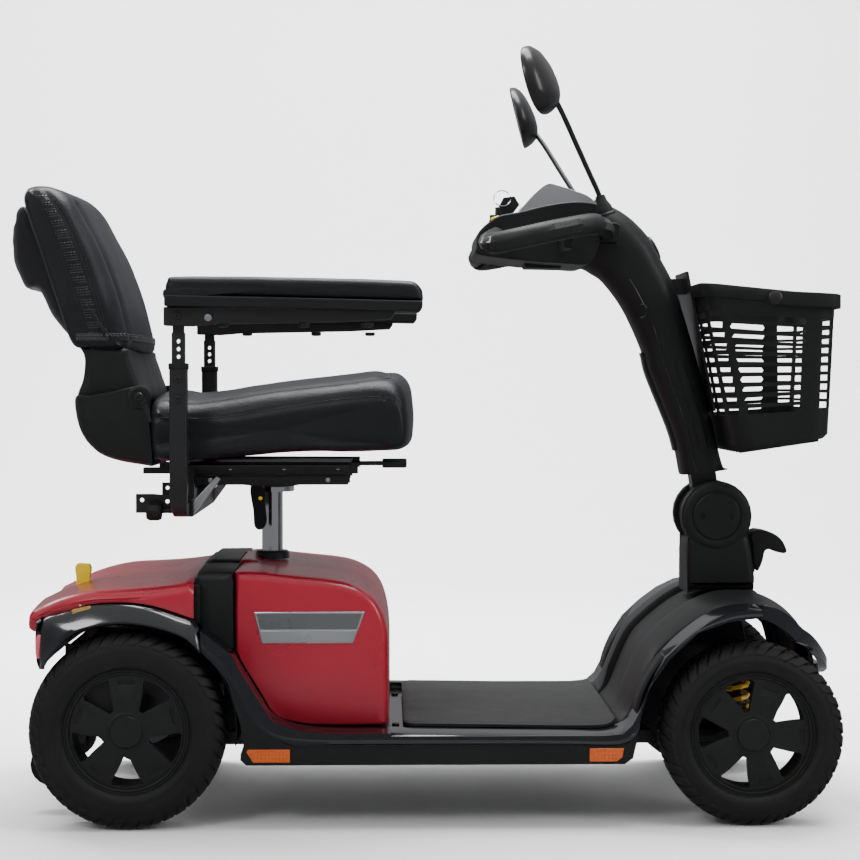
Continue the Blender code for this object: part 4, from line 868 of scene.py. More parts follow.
def wheel(kind, centre, half_width, radius, plane, cap, turn, tag, side, body):
    """Tyre with a chevron tread, five-spoke rim, hub cap and valve."""
    base = radius - 0.0030
    profile = [(0.0800, half_width * 0.62), (0.0885, half_width * 0.74), (0.0900, half_width * 0.86),
               (0.0960, half_width * 0.965), (0.1080, half_width), (base - 0.0190, half_width * 0.985),
               (base - 0.0095, half_width * 0.90), (base - 0.0035, half_width * 0.70), (base,
                                                                                        half_width * 0.36)]
    profile = profile + [(base, -half_width * 0.36)] + [(r, -u) for r, u in reversed(profile[:-1])]
    smooth = [tuple(p) for p in curve_through(profile, 56)]
    tyre = ring_lathe(f"{kind}_carcass_{tag}", smooth, centre, (0, 1, 0), RUBBER, None, steps=96, angle=50)
    rings = []
    for r in (0.1010, base - 0.0230):
        u = half_width * (0.985 if r < 0.105 else 0.985)
        ring = [(r, side * (u - 0.001)), (r + 0.0006, side * (u + 0.0006)), (r + 0.0016,
                                                                             side * (u + 0.0006)),
                (r + 0.0022, side * (u - 0.001))]
        rings.append(ring_lathe("sidewall_rib", ring, centre, (0, 1, 0), RUBBER, None, steps=96))
    verts, faces = tread_blocks(base, half_width, 42)
    blocks = piece("tread", verts, faces, RUBBER, None, 30)
    blocks.data.transform(Matrix.Translation(centre))
    tyre = join(f"{kind}_tread_tyre_{tag}", [tyre, blocks] + rings)
    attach(tyre, body)
    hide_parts(f"{kind}_tyre_{tag}")

    def at(r, degrees, y):
        a = math.radians(degrees)
        return (centre[0] + r * math.cos(a), centre[1] + side * y, centre[2] + r * math.sin(a))

    out = Vector((0, side, 0))
    base_point = Vector(centre) + out * (plane - 0.012)
    disc = lathe("disc", [(0.0, 0.0), (0.0840, 0.0), (0.0840, 0.0090), (0.0805, 0.0098), (0.0780, 0.0098),
                          (0.0700, 0.0112), (0.0300, 0.0130), (0.0, 0.0130)], base_point,
                          base_point + out, RIM, None, 80)
    cutters = []
    for k in range(5):
        middle = turn + 72 * k
        corners = [(0.0350, -6.0), (0.0345, 6.0), (0.0430, 9.5), (0.0600, 14.0), (0.0745, 17.0), (0.0778,
                                                                                                  15.0),
                   (0.0785, 8.0), (0.0788, 0.0), (0.0785, -8.0), (0.0778, -15.0), (0.0745, -17.0),
                   (0.0600, -14.0),
                   (0.0430, -9.5)]
        rows = [[at(r, middle + a, y) for r, a in corners] for y in (plane - 0.030, plane + 0.010)]
        v, f = grid(rows, around=True, caps=True)
        cutters.append(piece(f"window_{k}", v, f, RIM, None))
        spoke = math.radians(middle + 36)
        reach, across = Vector((math.cos(spoke), 0, math.sin(spoke))), Vector((-math.sin(spoke), 0,
                                                                               math.cos(spoke)))
        rows = [[Vector(centre) + out * y + reach * (0.0705 + v2) + across * u2
                 for u2, v2 in rounded_box(0.0115, 0.0032, 0.0012, 2)] for y in (plane - 0.0030,
                                                                                 plane + 0.010)]
        v, f = grid(rows, around=True, caps=True)
        cutters.append(piece(f"recess_{k}", v, f, RIM, None))
    boolean(disc, cutters, angle=35)
    bevel(disc, 0.0011, 2, 40)
    apply(disc, 32)
    hoop = [(0.0805, -half_width * 0.80), (0.0880, -half_width * 0.86), (0.0905, -half_width * 0.84),
            (0.0905, plane * 0.90), (0.0897, plane + 0.0012), (0.0888, plane + 0.0020), (0.0868,
                                                                                         plane + 0.0018),
            (0.0862, plane + 0.0002), (0.0852, plane + 0.0002), (0.0846, plane + 0.0012), (0.0822,
                                                                                           plane + 0.0006),
            (0.0812, plane - 0.0020), (0.0808, plane - 0.0140)]
    rim = ring_lathe("hoop", [(r, side * u) for r, u in hoop], centre, (0, 1, 0), RIM, None, steps=96,
                     angle=28)
    start = Vector(centre) + out * (plane - 0.004)
    tall = cap - plane + 0.004
    hub = lathe("cap", [(0.0285, 0.0), (0.0282, 0.0052), (0.0260, 0.0060), (0.0238, 0.0060), (0.0235,
                                                                                              tall - 0.0018),
                        (0.0220, tall), (0.0, tall + 0.0002)], start, start + out, RIM, None, 48, angle=25)
    notch = block("notch", (centre[0] - 0.0022, min(start.y, start.y + side * 0.02), centre[2] - 0.0250),
                  (centre[0] + 0.0022, max(start.y, start.y + side * 0.02), centre[2] - 0.0205), RIM,
                  None, 0)
    boolean(hub, [notch], angle=25)
    barrel = lathe("barrel", [(0.0245, 0.0), (0.0245, plane * 0.9)], Vector(centre) - out * plane * 0.5,
                   Vector(centre), DARK, None, 32)
    rim = join(f"{kind}_spokes_{tag}", [rim, disc, hub, barrel])
    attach(rim, body)
    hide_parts(f"{kind}_rim_{tag}")
    valve_from, valve_to = at(0.0820, turn + 36, plane - 0.018), at(0.0700, turn + 36, plane - 0.030)
    tube(f"{kind}_valve_{tag}", [valve_from, valve_to], 0.0028, DARK, body, 10)


def all_wheels():
    for tag, side in SIDES.items():
        wheel("rear", (-0.427, side * 0.239, 0.140), 0.0462, 0.1405, 0.0360, 0.0412, 54.0, tag, side,
              f"rear_wheel_{tag}")
        wheel("front", (0.4675, side * 0.2325, 0.131), 0.0427, 0.1315, 0.0320, 0.0376, 33.4, tag, side,
              f"front_wheel_{tag}")


# ---------------------------------------------------------------- tiller
def lofted_neck():
    """The moulded goose neck, wider at the top, with a raised frame line down both sides."""
    front = [(0.4722, 0.5020), (0.4622, 0.5105), (0.4415, 0.598), (0.4182, 0.686), (0.3872, 0.7845),
             (0.3666, 0.826),
             (0.346, 0.862), (0.3149, 0.893), (0.284, 0.911), (0.2660, 0.9200)]
    rear = [(0.3990, 0.4930), (0.3976, 0.4975), (0.3846, 0.557), (0.3484, 0.6475), (0.338, 0.686),
            (0.3096, 0.748),
            (0.2786, 0.7905), (0.2600, 0.8040), (0.2500, 0.8100), (0.2420, 0.8130)]
    count = 54
    fore, aft = curve_through(front, count), curve_through(rear, count)
    rows = []
    for i, (f, r) in enumerate(zip(fore, aft)):
        share = i / (count - 1)
        half = 0.0425 + 0.0080 * share
        mid, reach = (f + r) / 2, (f - r) / 2
        ring = []
        for a in np.linspace(0, math.tau, 44, endpoint=False):
            c, s = math.cos(a), math.sin(a)
            u = math.copysign(abs(c) ** 0.55, c)
            v = math.copysign(abs(s) ** 0.62, s)
            pinch = 1.0 - 0.10 * max(0.0, -u) ** 2 - 0.16 * max(0.0, u) ** 3
            ring.append((mid[0] + reach[0] * u, half * v * pinch, mid[1] + reach[1] * u))
        rows.append(ring)
    verts, faces = grid(rows, around=True, caps=True)
    neck = piece("neck_cover", verts, faces, MATTE, "tiller", 50)
    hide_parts("tiller_cover")
    for tag, side in SIDES.items():
        seam = []
        for share, wide in zip(np.linspace(0.03, 0.80, 44), np.linspace(0.0425, 0.0492, 44)):
            i = int(share * (count - 1))
            f, r = fore[i], aft[i]
            point = r + (f - r) * 0.30
            seam.append((point[0], side * (wide + 0.0002), point[1]))
        sweep(f"neck_seam_{tag}", curve_through(seam, 60), circle(0.0011, 8), STEEL, "tiller")
        frame_line = []
        for share in list(np.linspace(0.10, 0.42, 16)):
            i = int(share * (count - 1))
            f, r = fore[i], aft[i]
            point = r + (f - r) * 0.58
            frame_line.append((point[0], side * 0.0452, point[1]))
        sweep(f"cable_cover_{tag}", curve_through(frame_line, 30), rounded_box(0.0016, 0.0065, 0.0014),
              MATTE, "tiller")
        mark = [(0.3330 + 0.008 * math.cos(a), side * 0.0490, 0.7450 + 0.010 * math.sin(a))
                for a in np.linspace(-1.4, 1.4, 12)]
        mark = [(0.3310, side * 0.0490, 0.7350), *mark, (0.3310, side * 0.0490, 0.7550)]
        sweep(f"neck_mark_{tag}", mark, circle(0.0010, 6), STEEL, "tiller")
    strip = curve_through([(r[0] - 0.0010, 0.0, r[1] - 0.0005) for r in aft[6:30]], 30)
    sweep("cable_strip", strip, rounded_box(0.0030, 0.0130, 0.0025), STEEL, "tiller", up=(0, 1, 0))


def head_console():
    """Console with a bright hood, dials, key and switches on its sloping rear face."""
    side = [(0.0790, 0.8290), (0.0775, 0.8400), (0.0790, 0.8580), (0.0870, 0.8690), (0.0980, 0.8780),
            (0.1130, 0.8870), (0.1440, 0.8930), (0.1800, 0.9020), (0.2200, 0.9080), (0.2500, 0.9070),
            (0.2640, 0.9000), (0.2660, 0.8700), (0.2620, 0.8400), (0.2480, 0.8150), (0.2080, 0.8150),
            (0.1620, 0.8180), (0.1150, 0.8230)]
    outline = [tuple(p) for p in curve_through(side, 80, closed=True)]
    body = extrude("console_body", outline, -0.0930, 0.0930, MATTE, "tiller", "Y", 0.006, 4)
    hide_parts("console")
    top = [(0.1400, 0.8880), (0.1440, 0.8960), (0.1640, 0.9190), (0.1860, 0.9370), (0.2020, 0.9355),
           (0.2300, 0.9265),
           (0.2490, 0.9190), (0.2620, 0.9060), (0.2630, 0.8880)]
    outline = [tuple(p) for p in curve_through([top[0], *top, top[-1]], 60)]
    extrude("hood", outline, -0.0620, 0.0620, SILVER, "tiller", "Y", 0.005, 4)
    block("display", (0.1010, -0.0300, 0.8795), (0.1120, 0.0050, 0.8870), DARK, "tiller", 0.001)
    extrude("under_box", [(0.1550, 0.8120), (0.2100, 0.8110), (0.2130, 0.8260), (0.1530, 0.8270)], -0.030,
            0.030,
            DARK, "tiller", "Y", 0.002)
    for n, y in enumerate((-0.075, 0.056, 0.076)):
        lathe(f"switch_{n}", [(0.0075, 0.0), (0.0075, 0.004), (0.0060, 0.0056), (0.0, 0.0060)],
              (0.1080, y, 0.8810), (0.1050, y, 0.8910), DARK if n else YELLOW, "tiller", 24)
    for n, y in enumerate(np.linspace(-0.030, 0.030, 5)):
        lathe(f"light_{n}", [(0.0020, 0.0), (0.0020, 0.0010), (0.0, 0.0014)], (0.1500, y, 0.9040),
              (0.1430, y, 0.9110), CLEAR, "tiller", 12)
    lens = lathe("headlamp", [(0.0170, 0.0), (0.0170, 0.0030), (0.0140, 0.0050), (0.0, 0.0072)],
                 (0.3560, 0, 0.8430), (0.3640, 0, 0.8470), CLEAR, "tiller", 32)
    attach(lens, "tiller")
    lathe("headlamp_ring", [(0.0200, -0.0040), (0.0205, 0.0020), (0.0190, 0.0038), (0.0172, 0.0030)],
          (0.3560, 0, 0.8430), (0.3640, 0, 0.8470), STEEL, "tiller", 32)


def key_and_ring():
    """Flat bow with a loose ring through it."""
    ring = [(0.1210 + 0.0130 * math.cos(a), -0.010 + 0.0125 * math.sin(a) * 0.5,
             0.9200 + 0.0125 * math.sin(a))
            for a in np.linspace(0, math.tau, 28, endpoint=False)]
    sweep("key_ring", ring, circle(0.0009, 8), CHROME, "key", closed=True)
    lathe("key_collar", [(0.0075, 0.0), (0.0075, 0.0045), (0.0055, 0.0060), (0.0, 0.0060)], (0.128,
                                                                                             -0.010, 0.8850),
          (0.128, -0.010, 0.8950), CHROME, "tiller", 24)
    lathe("dial_ring", [(0.0155, 0.0), (0.0155, 0.0030), (0.0140, 0.0040), (0.0, 0.0040)], (0.1245, 0.030,
                                                                                            0.8850),
          (0.1238, 0.030, 0.8950), CHROME, "tiller", 32)


def handles():
    """Thick moulded grips over the bar loop, narrower at their ends, and the clamp in the neck."""
    for tag, side in SIDES.items():
        grip = [(0.2480, 0.1960, 0.8655), (0.2340, 0.2140, 0.8640), (0.2100, 0.2290, 0.8590), (0.1780,
                                                                                               0.2370,
                                                                                               0.8525),
                (0.1500, 0.2400, 0.8462), (0.1230, 0.2360, 0.8405), (0.1030, 0.2240, 0.8370), (0.0930,
                                                                                               0.2050,
                                                                                               0.8375)]
        path = curve_through([(x, side * y, z) for x, y, z in grip], 60)
        shape = [0.0136] + [0.0160 - 0.0006 * (k % 2) for k in range(58)] + [0.0136]
        sweep(f"grip_{tag}", path, circle(1.0, 20), GRIP, "tiller", scale=[(r, r) for r in shape], angle=60)
        low, high = sorted((side * 0.0480, side * 0.0780))
        extrude(f"bar_clamp_{tag}", [(0.2560, 0.8480), (0.2950, 0.8480), (0.2970, 0.8540), (0.2970, 0.8740),
                                     (0.2900, 0.8780), (0.2580, 0.8780), (0.2545, 0.8700)], low, high,
                                     MATTE, "tiller",
                "Y", 0.002, 3)


def mirror_heads():
    """Teardrop heads with a rim round each glass, on thin bent stems."""
    for tag, side in SIDES.items():
        yaw = -21.0 if side < 0 else -4.0
        turn = Matrix.Rotation(math.radians(yaw), 3, "Z") @ Matrix.Rotation(math.radians(-14.0), 3, "Y")
        centre = Vector((0.1665, side * 0.2050, 1.0740))
        edge = []
        for a in np.linspace(0, math.tau, 48, endpoint=False):
            c, s = math.cos(a), math.sin(a)
            wide = 0.0575 * (math.copysign(abs(c) ** 0.90, c))
            tall = 0.0505 * (math.copysign(abs(s) ** 0.92, s)) * (1.0 + 0.10 * c)
            edge.append((wide, tall))

        def put(depth, scale, drop=0.0):
            return [centre + turn @ Vector((depth, side * w * scale, t * scale + drop)) for w, t in edge]

        rows = [put(-0.0080, 0.90), put(-0.0100, 0.955), put(-0.0095, 0.99), put(-0.0060, 1.0), put(0.0,
                                                                                                    0.965),
                put(0.0070, 0.86, -0.0020), put(0.0130, 0.68, -0.0065), put(0.0175, 0.44, -0.0120),
                put(0.0200, 0.20, -0.0150),
                put(0.0204, 0.04, -0.0160)]
        verts, faces = grid(rows, around=True, caps=True)
        head = piece(f"mirror_head_{tag}", verts, faces, STEEL, f"mirror_body_{tag}", 40)
        glass = [put(-0.0088, 0.91), put(-0.0092, 0.60), put(-0.0094, 0.25), put(-0.0094, 0.03)]
        verts, faces = grid(glass, around=True, caps=True)
        piece(f"mirror_glass_{tag}", verts, faces, MIRROR, f"mirror_body_{tag}", 60)
        stem = [(0.2628, 0.1202, 0.9050), (0.2570, 0.1240, 0.9200), (0.2420, 0.1390, 0.9480), (0.2230,
                                                                                               0.1600,
                                                                                               0.9830),
                (0.2020, 0.1840, 1.0220), (0.1880, 0.2000, 1.0450), (0.1800, 0.2080, 1.0600)]
        tube(f"mirror_stem_{tag}", [(x, side * y, z) for x, y, z in stem], 0.0040, STEEL,
             f"mirror_body_{tag}", 12, 40)
        lathe(f"mirror_boot_{tag}", [(0.0150, 0.0), (0.0150, 0.0040), (0.0125, 0.0060), (0.0122, 0.0140),
                                     (0.0085, 0.0220), (0.0070, 0.0320), (0.0, 0.0330)],
              (0.2705, side * 0.1185, 0.8840), (0.2600, side * 0.1210, 0.9160), GRIP,
              f"mirror_body_{tag}", 28)
        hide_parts(f"mirror_{tag}")


def pivot_joint():
    """Round hinge covers with a pressed-in plug, over the block that stands on the floor."""
    for tag, side in SIDES.items():
        start = Vector((0.448, side * 0.0322, 0.431))
        out = Vector((0, side, 0))
        disc = lathe(f"hinge_cover_{tag}", [(0.0, 0.0), (0.0540, 0.0), (0.0540, 0.0150), (0.0525, 0.0190),
                                            (0.0480, 0.0215),
                                            (0.0405, 0.0222), (0.0385, 0.0215), (0.0380, 0.0180), (0.0365,
                                                                                                   0.0180),
                                            (0.0360, 0.0212), (0.0345, 0.0222), (0.0, 0.0226)],
                     start, start + out, MATTE, "steering", 64, angle=28)
        holes = [lathe(f"plug_hole_{k}", [(0.0048, 0.0), (0.0048, 0.02)], start + Vector((dx,
                                                                                          side * 0.0175, 0)),
                       start + Vector((dx, side * 0.0400, 0)), MATTE, None, 20) for k,
                       dx in enumerate((-0.022, 0.022))]
        boolean(disc, holes, angle=28)
        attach(disc, "steering")
    outline = curve_through([(0.4060, 0.3170), (0.4040, 0.3300), (0.4040, 0.3880), (0.4120, 0.4000),
                             (0.4300, 0.4060),
                             (0.4800, 0.4060), (0.4980, 0.3960), (0.5070, 0.3450), (0.5080, 0.3300),
                             (0.5060, 0.3170)], 40)
    pillow("pivot_base", [tuple(p) for p in outline], 0.0525, 0.0120, MATTE, "steering", lambda n: 1.0,
           steps=5,
           rows_between=3)
    lever = [(0.5080, 0.3850), (0.5050, 0.3980), (0.5120, 0.4065), (0.5230, 0.4075), (0.5400, 0.4030),
             (0.5540, 0.3920),
             (0.5615, 0.3760), (0.5580, 0.3715), (0.5440, 0.3740), (0.5330, 0.3780), (0.5270, 0.3740),
             (0.5240, 0.3600),
             (0.5160, 0.3440), (0.5100, 0.3560)]
    shape = [tuple(p) for p in curve_through(lever, 56, closed=True)]
    paddle = extrude("tilt_paddle", shape, -0.0250, 0.0250, DARK, "tilt_release", "Y", 0.0018, 3)
    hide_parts("tilt_lever")


# ---------------------------------------------------------------- basket
def basket_wall_point(u, level, inset=0.0):
    """A point of the basket's wall: u runs round it from 0 to 4 (front, left, rear, right sides)."""
    rear = 0.4590 + (0.4085 - 0.4590) * level + inset
    fore = 0.6005 + (0.6080 - 0.6005) * level - inset
    half = 0.1590 + (0.1745 - 0.1590) * level - inset
    corner = 0.030 - inset
    points = []
    for cx, cy, start in ((fore - corner, half - corner, 0), (rear + corner, half - corner, 90),
                          (rear + corner, -half + corner, 180), (fore - corner, -half + corner, 270)):
        for k in range(9):
            a = math.radians(start + 90 * k / 8)
            points.append((cx + corner * math.cos(a), cy + corner * math.sin(a)))
    x, y = points[u % len(points)]
    share = (x - rear) / (fore - rear)
    low = 0.5320 + (0.5530 - 0.5320) * share
    high = 0.7820 + (0.7620 - 0.7820) * share
    return (x, y, low + (high - low) * level)


def moulded_basket():
    """Open tub with rounded corners; rows of slots through its walls, a plain band low down and a rim."""
    count = 36
    outer = [[basket_wall_point(u, level) for u in range(count)] for level in (0.0, 0.03, 0.25, 0.5, 0.75,
                                                                               1.0)]
    outer[0] = [basket_wall_point(u, 0.0, 0.0060) for u in range(count)]
    inner = [[basket_wall_point(u, level, 0.0032) for u in range(count)] for level in (1.0, 0.75, 0.5,
                                                                                       0.25, 0.045)]
    rows = outer + inner
    verts, faces = grid(rows, around=True, caps=True)
    tub = piece("basket_tub", verts, faces, DARK, "basket_body", 40)
    cutters = []
    levels = [0.235 + 0.0645 * k for k in range(10)]
    for n, level in enumerate(levels):
        z_rear, z_front = 0.5320 + 0.250 * level, 0.5530 + 0.209 * level
        rear = 0.4590 - 0.0505 * level
        for tag, side in SIDES.items():
            y = side * (0.1590 + 0.0155 * level)
            x0, x1 = rear + 0.0300, 0.5640 - 0.012 + 0.008 * level
            za = z_rear + (z_front - z_rear) * (x0 - rear) / 0.17
            zb = z_rear + (z_front - z_rear) * (x1 - rear) / 0.17
            low, high = sorted((y - side * 0.012, y + side * 0.012))
            outline = [(x0, za - 0.0046), (x1, zb - 0.0046), (x1 + 0.003, zb), (x1, zb + 0.0046),
                       (x0, za + 0.0046), (x0 - 0.003, za)]
            cutters.append(extrude(f"slot_{n}_{tag}", outline, low, high, DARK, None))
            z = z_front + 0.001
            for end, x0, x1, z_mid in (("f", 0.5820, 0.640, z), ("r", rear - 0.030, rear + 0.0160,
                                                                 z_rear + 0.001)):
                low, high = sorted((side * 0.1435, side * 0.2000))
                outline = [(x0, z_mid - 0.0046), (x1, z_mid - 0.0046), (x1, z_mid + 0.0046), (x0,
                                                                                              z_mid + 0.0046)]
                cutters.append(extrude(f"corner_{end}_{n}_{tag}", outline, low, high, DARK, None))
        for end, x0, x1, z_mid in (("f", 0.5900, 0.640, z_front), ("r", rear - 0.030, rear + 0.0120,
                                                                   z_rear)):
            for k, (a, b) in enumerate(((-0.128, -0.068), (-0.055, -0.004), (0.004, 0.055), (0.068, 0.128))):
                outline = [(x0, z_mid - 0.0046), (x1, z_mid - 0.0046), (x1, z_mid + 0.0046), (x0,
                                                                                              z_mid + 0.0046)]
                cutters.append(extrude(f"face_{end}_{n}_{k}", outline, a, b, DARK, None))
    boolean(tub, [join("slots", cutters)], angle=35)
    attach(tub, "basket_body")
    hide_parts("basket")
    rows = []
    for level, inset in ((0.925, 0.0004), (0.925, -0.0030), (0.94, -0.0036), (0.992, -0.0038), (1.004,
                                                                                                -0.0020),
                         (1.004, 0.0030), (0.985, 0.0036)):
        rows.append([basket_wall_point(u, level, inset) for u in range(count)])
    verts, faces = grid(rows, around=True)
    piece("basket_rim", verts, faces, DARK, "basket_body", 40)
    bars = []
    for n, y in enumerate(np.linspace(-0.12, 0.12, 9)):
        bars.append(block(f"floor_bar_{n}", (0.4700, y - 0.0030, 0.5385), (0.5900, y + 0.0030, 0.5440),
                          DARK, None, 0))
    for bar in bars:
        bar.data.transform(Matrix.Translation((0.53, 0, 0.54)) @ Matrix.Rotation(math.radians(-8.4), 4, "Y")
                           @ Matrix.Translation((-0.53, 0, -0.54)))
    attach(join("basket_floor_bars", bars), "basket_body")


def basket_strap():
    """Flat carrying strap, hinged on a boss at each side and resting round the front of the rim."""
    half = [(0.5130, 0.1795, 0.7602), (0.5400, 0.1800, 0.7590), (0.5800, 0.1800, 0.7570), (0.6000, 0.1770,
                                                                                           0.7560),
            (0.6105, 0.1660, 0.7550), (0.6130, 0.1450, 0.7550), (0.6135, 0.0800, 0.7550)]
    ring = half + [(0.6135, 0.0, 0.7550)] + [(x, -y, z) for x, y, z in reversed(half)]
    strap = sweep("carry_strap", curve_through(ring, 90), rounded_box(0.0016, 0.0105, 0.0014), DARK,
                  "basket_bail")
    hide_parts("basket_handle")
    for tag, side in SIDES.items():
        lathe(f"strap_boss_{tag}", [(0.0100, 0.0), (0.0100, 0.0030), (0.0080, 0.0042), (0.0, 0.0044)],
              (0.5130, side * 0.1785, 0.7602), (0.5130, side * 0.1900, 0.7602), STEEL, "basket_bail", 28)


all_wheels()
lofted_neck()
head_console()
key_and_ring()
handles()
mirror_heads()
pivot_joint()
moulded_basket()
basket_strap()


# ---------------------------------------------------------------- upholstery helpers
def world_tree(obj):
    return BVHTree.FromPolygons([v.co for v in obj.data.vertices],
                                [p.vertices[:] for p in obj.data.polygons])


def on_skin(obj, points, toward, lift=0.0004):
    """Points cast onto a mesh along a direction, lifted a little off it; points that miss are dropped."""
    tree, way = world_tree(obj), Vector(toward).normalized()
    landed = []
    for point in points:
        hit, normal, _, _ = tree.ray_cast(Vector(point) - way * 0.5, way)
        if hit is not None:
            landed.append((hit + normal * lift, normal))
    return landed


def crease(obj, path, width, depth):
    """Press the mesh in along a path."""
    mesh = obj.data
    co = np.zeros(len(mesh.vertices) * 3)
    mesh.vertices.foreach_get("co", co)
    co = co.reshape(-1, 3)
    normal = np.zeros(len(mesh.vertices) * 3)
    mesh.vertices.foreach_get("normal", normal)
    normal = normal.reshape(-1, 3)
    line = np.array([tuple(p) for p in path])
    nearest = np.min(np.linalg.norm(co[:, None, :] - line[None, :, :], axis=2), axis=1)
    co -= normal * (depth * np.exp(-((nearest / width) ** 2)))[:, None]
    mesh.vertices.foreach_set("co", co.ravel())
    mesh.update()


def seam(name, obj, points, toward, body, width=0.006, depth=0.0025, stitch=True):
    """A sewn line: a crease with a cord of thread lying in it, and short stitches to one side."""
    dense = curve_through(points, max(24, int(len(points) * 14)))
    landed = on_skin(obj, dense, toward)
    if len(landed) < 6:
        return
    crease(obj, [p for p, _ in landed], width, depth)
    landed = on_skin(obj, dense, toward, -0.0002)
    line = curve_through([tuple(p) for p, _ in landed], len(landed) * 2)
    tube(f"{name}_line", line, 0.0007, THREAD, body, 8)
    if not stitch:
        return
    beside = on_skin(obj, [Vector(p) + Vector((0.0048, 0, 0)) for p in dense], toward, 0.0001)
    if len(beside) < 6:
        return
    run = curve_through([tuple(p) for p, _ in beside], 400)
    length = float(np.sum(np.linalg.norm(np.diff(run, axis=0), axis=1)))
    count = max(6, int(length / 0.0075))
    bits = []
    for k in range(count):
        a, b = int(k / count * 398), int((k + 0.62) / count * 398)
        if b > a:
            bits.append(sweep(f"{name}_stitch_{k}", [run[a], run[b]], circle(0.0006, 6), THREAD, None,
                              up=(0, 0, 1) if abs(run[b][2] - run[a][2]) < 0.003 else (0, 1, 0)))
    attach(join(f"{name}_stitches", bits), body)


def upholster(obj, strength, size, levels=1):
    """Even out a padded piece and give it slow, shallow unevenness."""
    subdivide(obj, levels)
    texture = bpy.data.textures.new(f"{obj.name}_waves", "CLOUDS")
    texture.noise_scale = size
    mod = obj.modifiers.new("waves", "DISPLACE")
    mod.texture = texture
    mod.strength = strength
    mod.mid_level = 0.5
    apply(obj, 60)


# ---------------------------------------------------------------- seat
def seat_pad():
    side = [(-0.3930, 0.5260), (-0.3990, 0.5500), (-0.3990, 0.5900), (-0.3930, 0.6040), (-0.3780, 0.6060),
            (-0.3450, 0.6020), (-0.3000, 0.6060), (-0.2550, 0.6130), (-0.1830, 0.6230), (-0.1110, 0.6310),
            (-0.0750, 0.6350), (-0.0520, 0.6330), (-0.0370, 0.6220), (-0.0300, 0.6000), (-0.0265, 0.5700),
            (-0.0290, 0.5480), (-0.0400, 0.5385), (-0.0700, 0.5360), (-0.1110, 0.5350), (-0.1830, 0.5350),
            (-0.3000, 0.5260), (-0.3600, 0.5210)]
    outline = [tuple(p) for p in curve_through(side, 120, closed=True)]

    def crown(share, n):
        return 0.0185 * (1 - abs(share) ** 2.4) * max(0.0, n[1]) + 0.010 * (1 - share * share) * max(0.0,
                                                                                                     n[0])

    cushion = pillow("seat_pad", outline, 0.2200, 0.0300, VINYL, None, lambda n: 0.35 + 0.65 * max(0.0,
                                                                                                   n[1]),
                                                                                                   crown,
                     steps=8, rows_between=34, angle=60)
    upholster(cushion, 0.0026, 0.09)
    for tag, y in SIDES.items():
        high = [(-0.3900, y * 0.3, 0.5850), (-0.3000, y * 0.3, 0.5850), (-0.2000, y * 0.3, 0.6010),
                (-0.1200, y * 0.3, 0.6120),
                (-0.0700, y * 0.3, 0.6150), (-0.0400, y * 0.3, 0.6080)]
        seam(f"seat_side_seam_{tag}", cushion, high, (0, -y, 0), "seat", 0.005, 0.0018)
        low = [(-0.3800, y * 0.3, 0.5500), (-0.3000, y * 0.3, 0.5550), (-0.2400, y * 0.3, 0.5610),
               (-0.1800, y * 0.3, 0.5590),
               (-0.1200, y * 0.3, 0.5500), (-0.0600, y * 0.3, 0.5440)]
        landed = on_skin(cushion, curve_through(low, 80), (0, -y, 0))
        crease(cushion, [p for p, _ in landed], 0.009, 0.0050)
        top = [(-0.3800, y * 0.1850, 0.7), (-0.3000, y * 0.1850, 0.7), (-0.2000, y * 0.1850, 0.7),
               (-0.1200, y * 0.1840, 0.7),
               (-0.0700, y * 0.1760, 0.7), (-0.0560, y * 0.1500, 0.7)]
        seam(f"seat_top_seam_{tag}", cushion, top, (0, 0, -1), "seat", 0.010, 0.0035)
    across = [(-0.0560, y, 0.7) for y in np.linspace(-0.150, 0.150, 12)]
    seam("seat_front_seam", cushion, across, (0, 0, -1), "seat", 0.010, 0.0035)
    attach(cushion, "seat")
    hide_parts("seat_cushion")


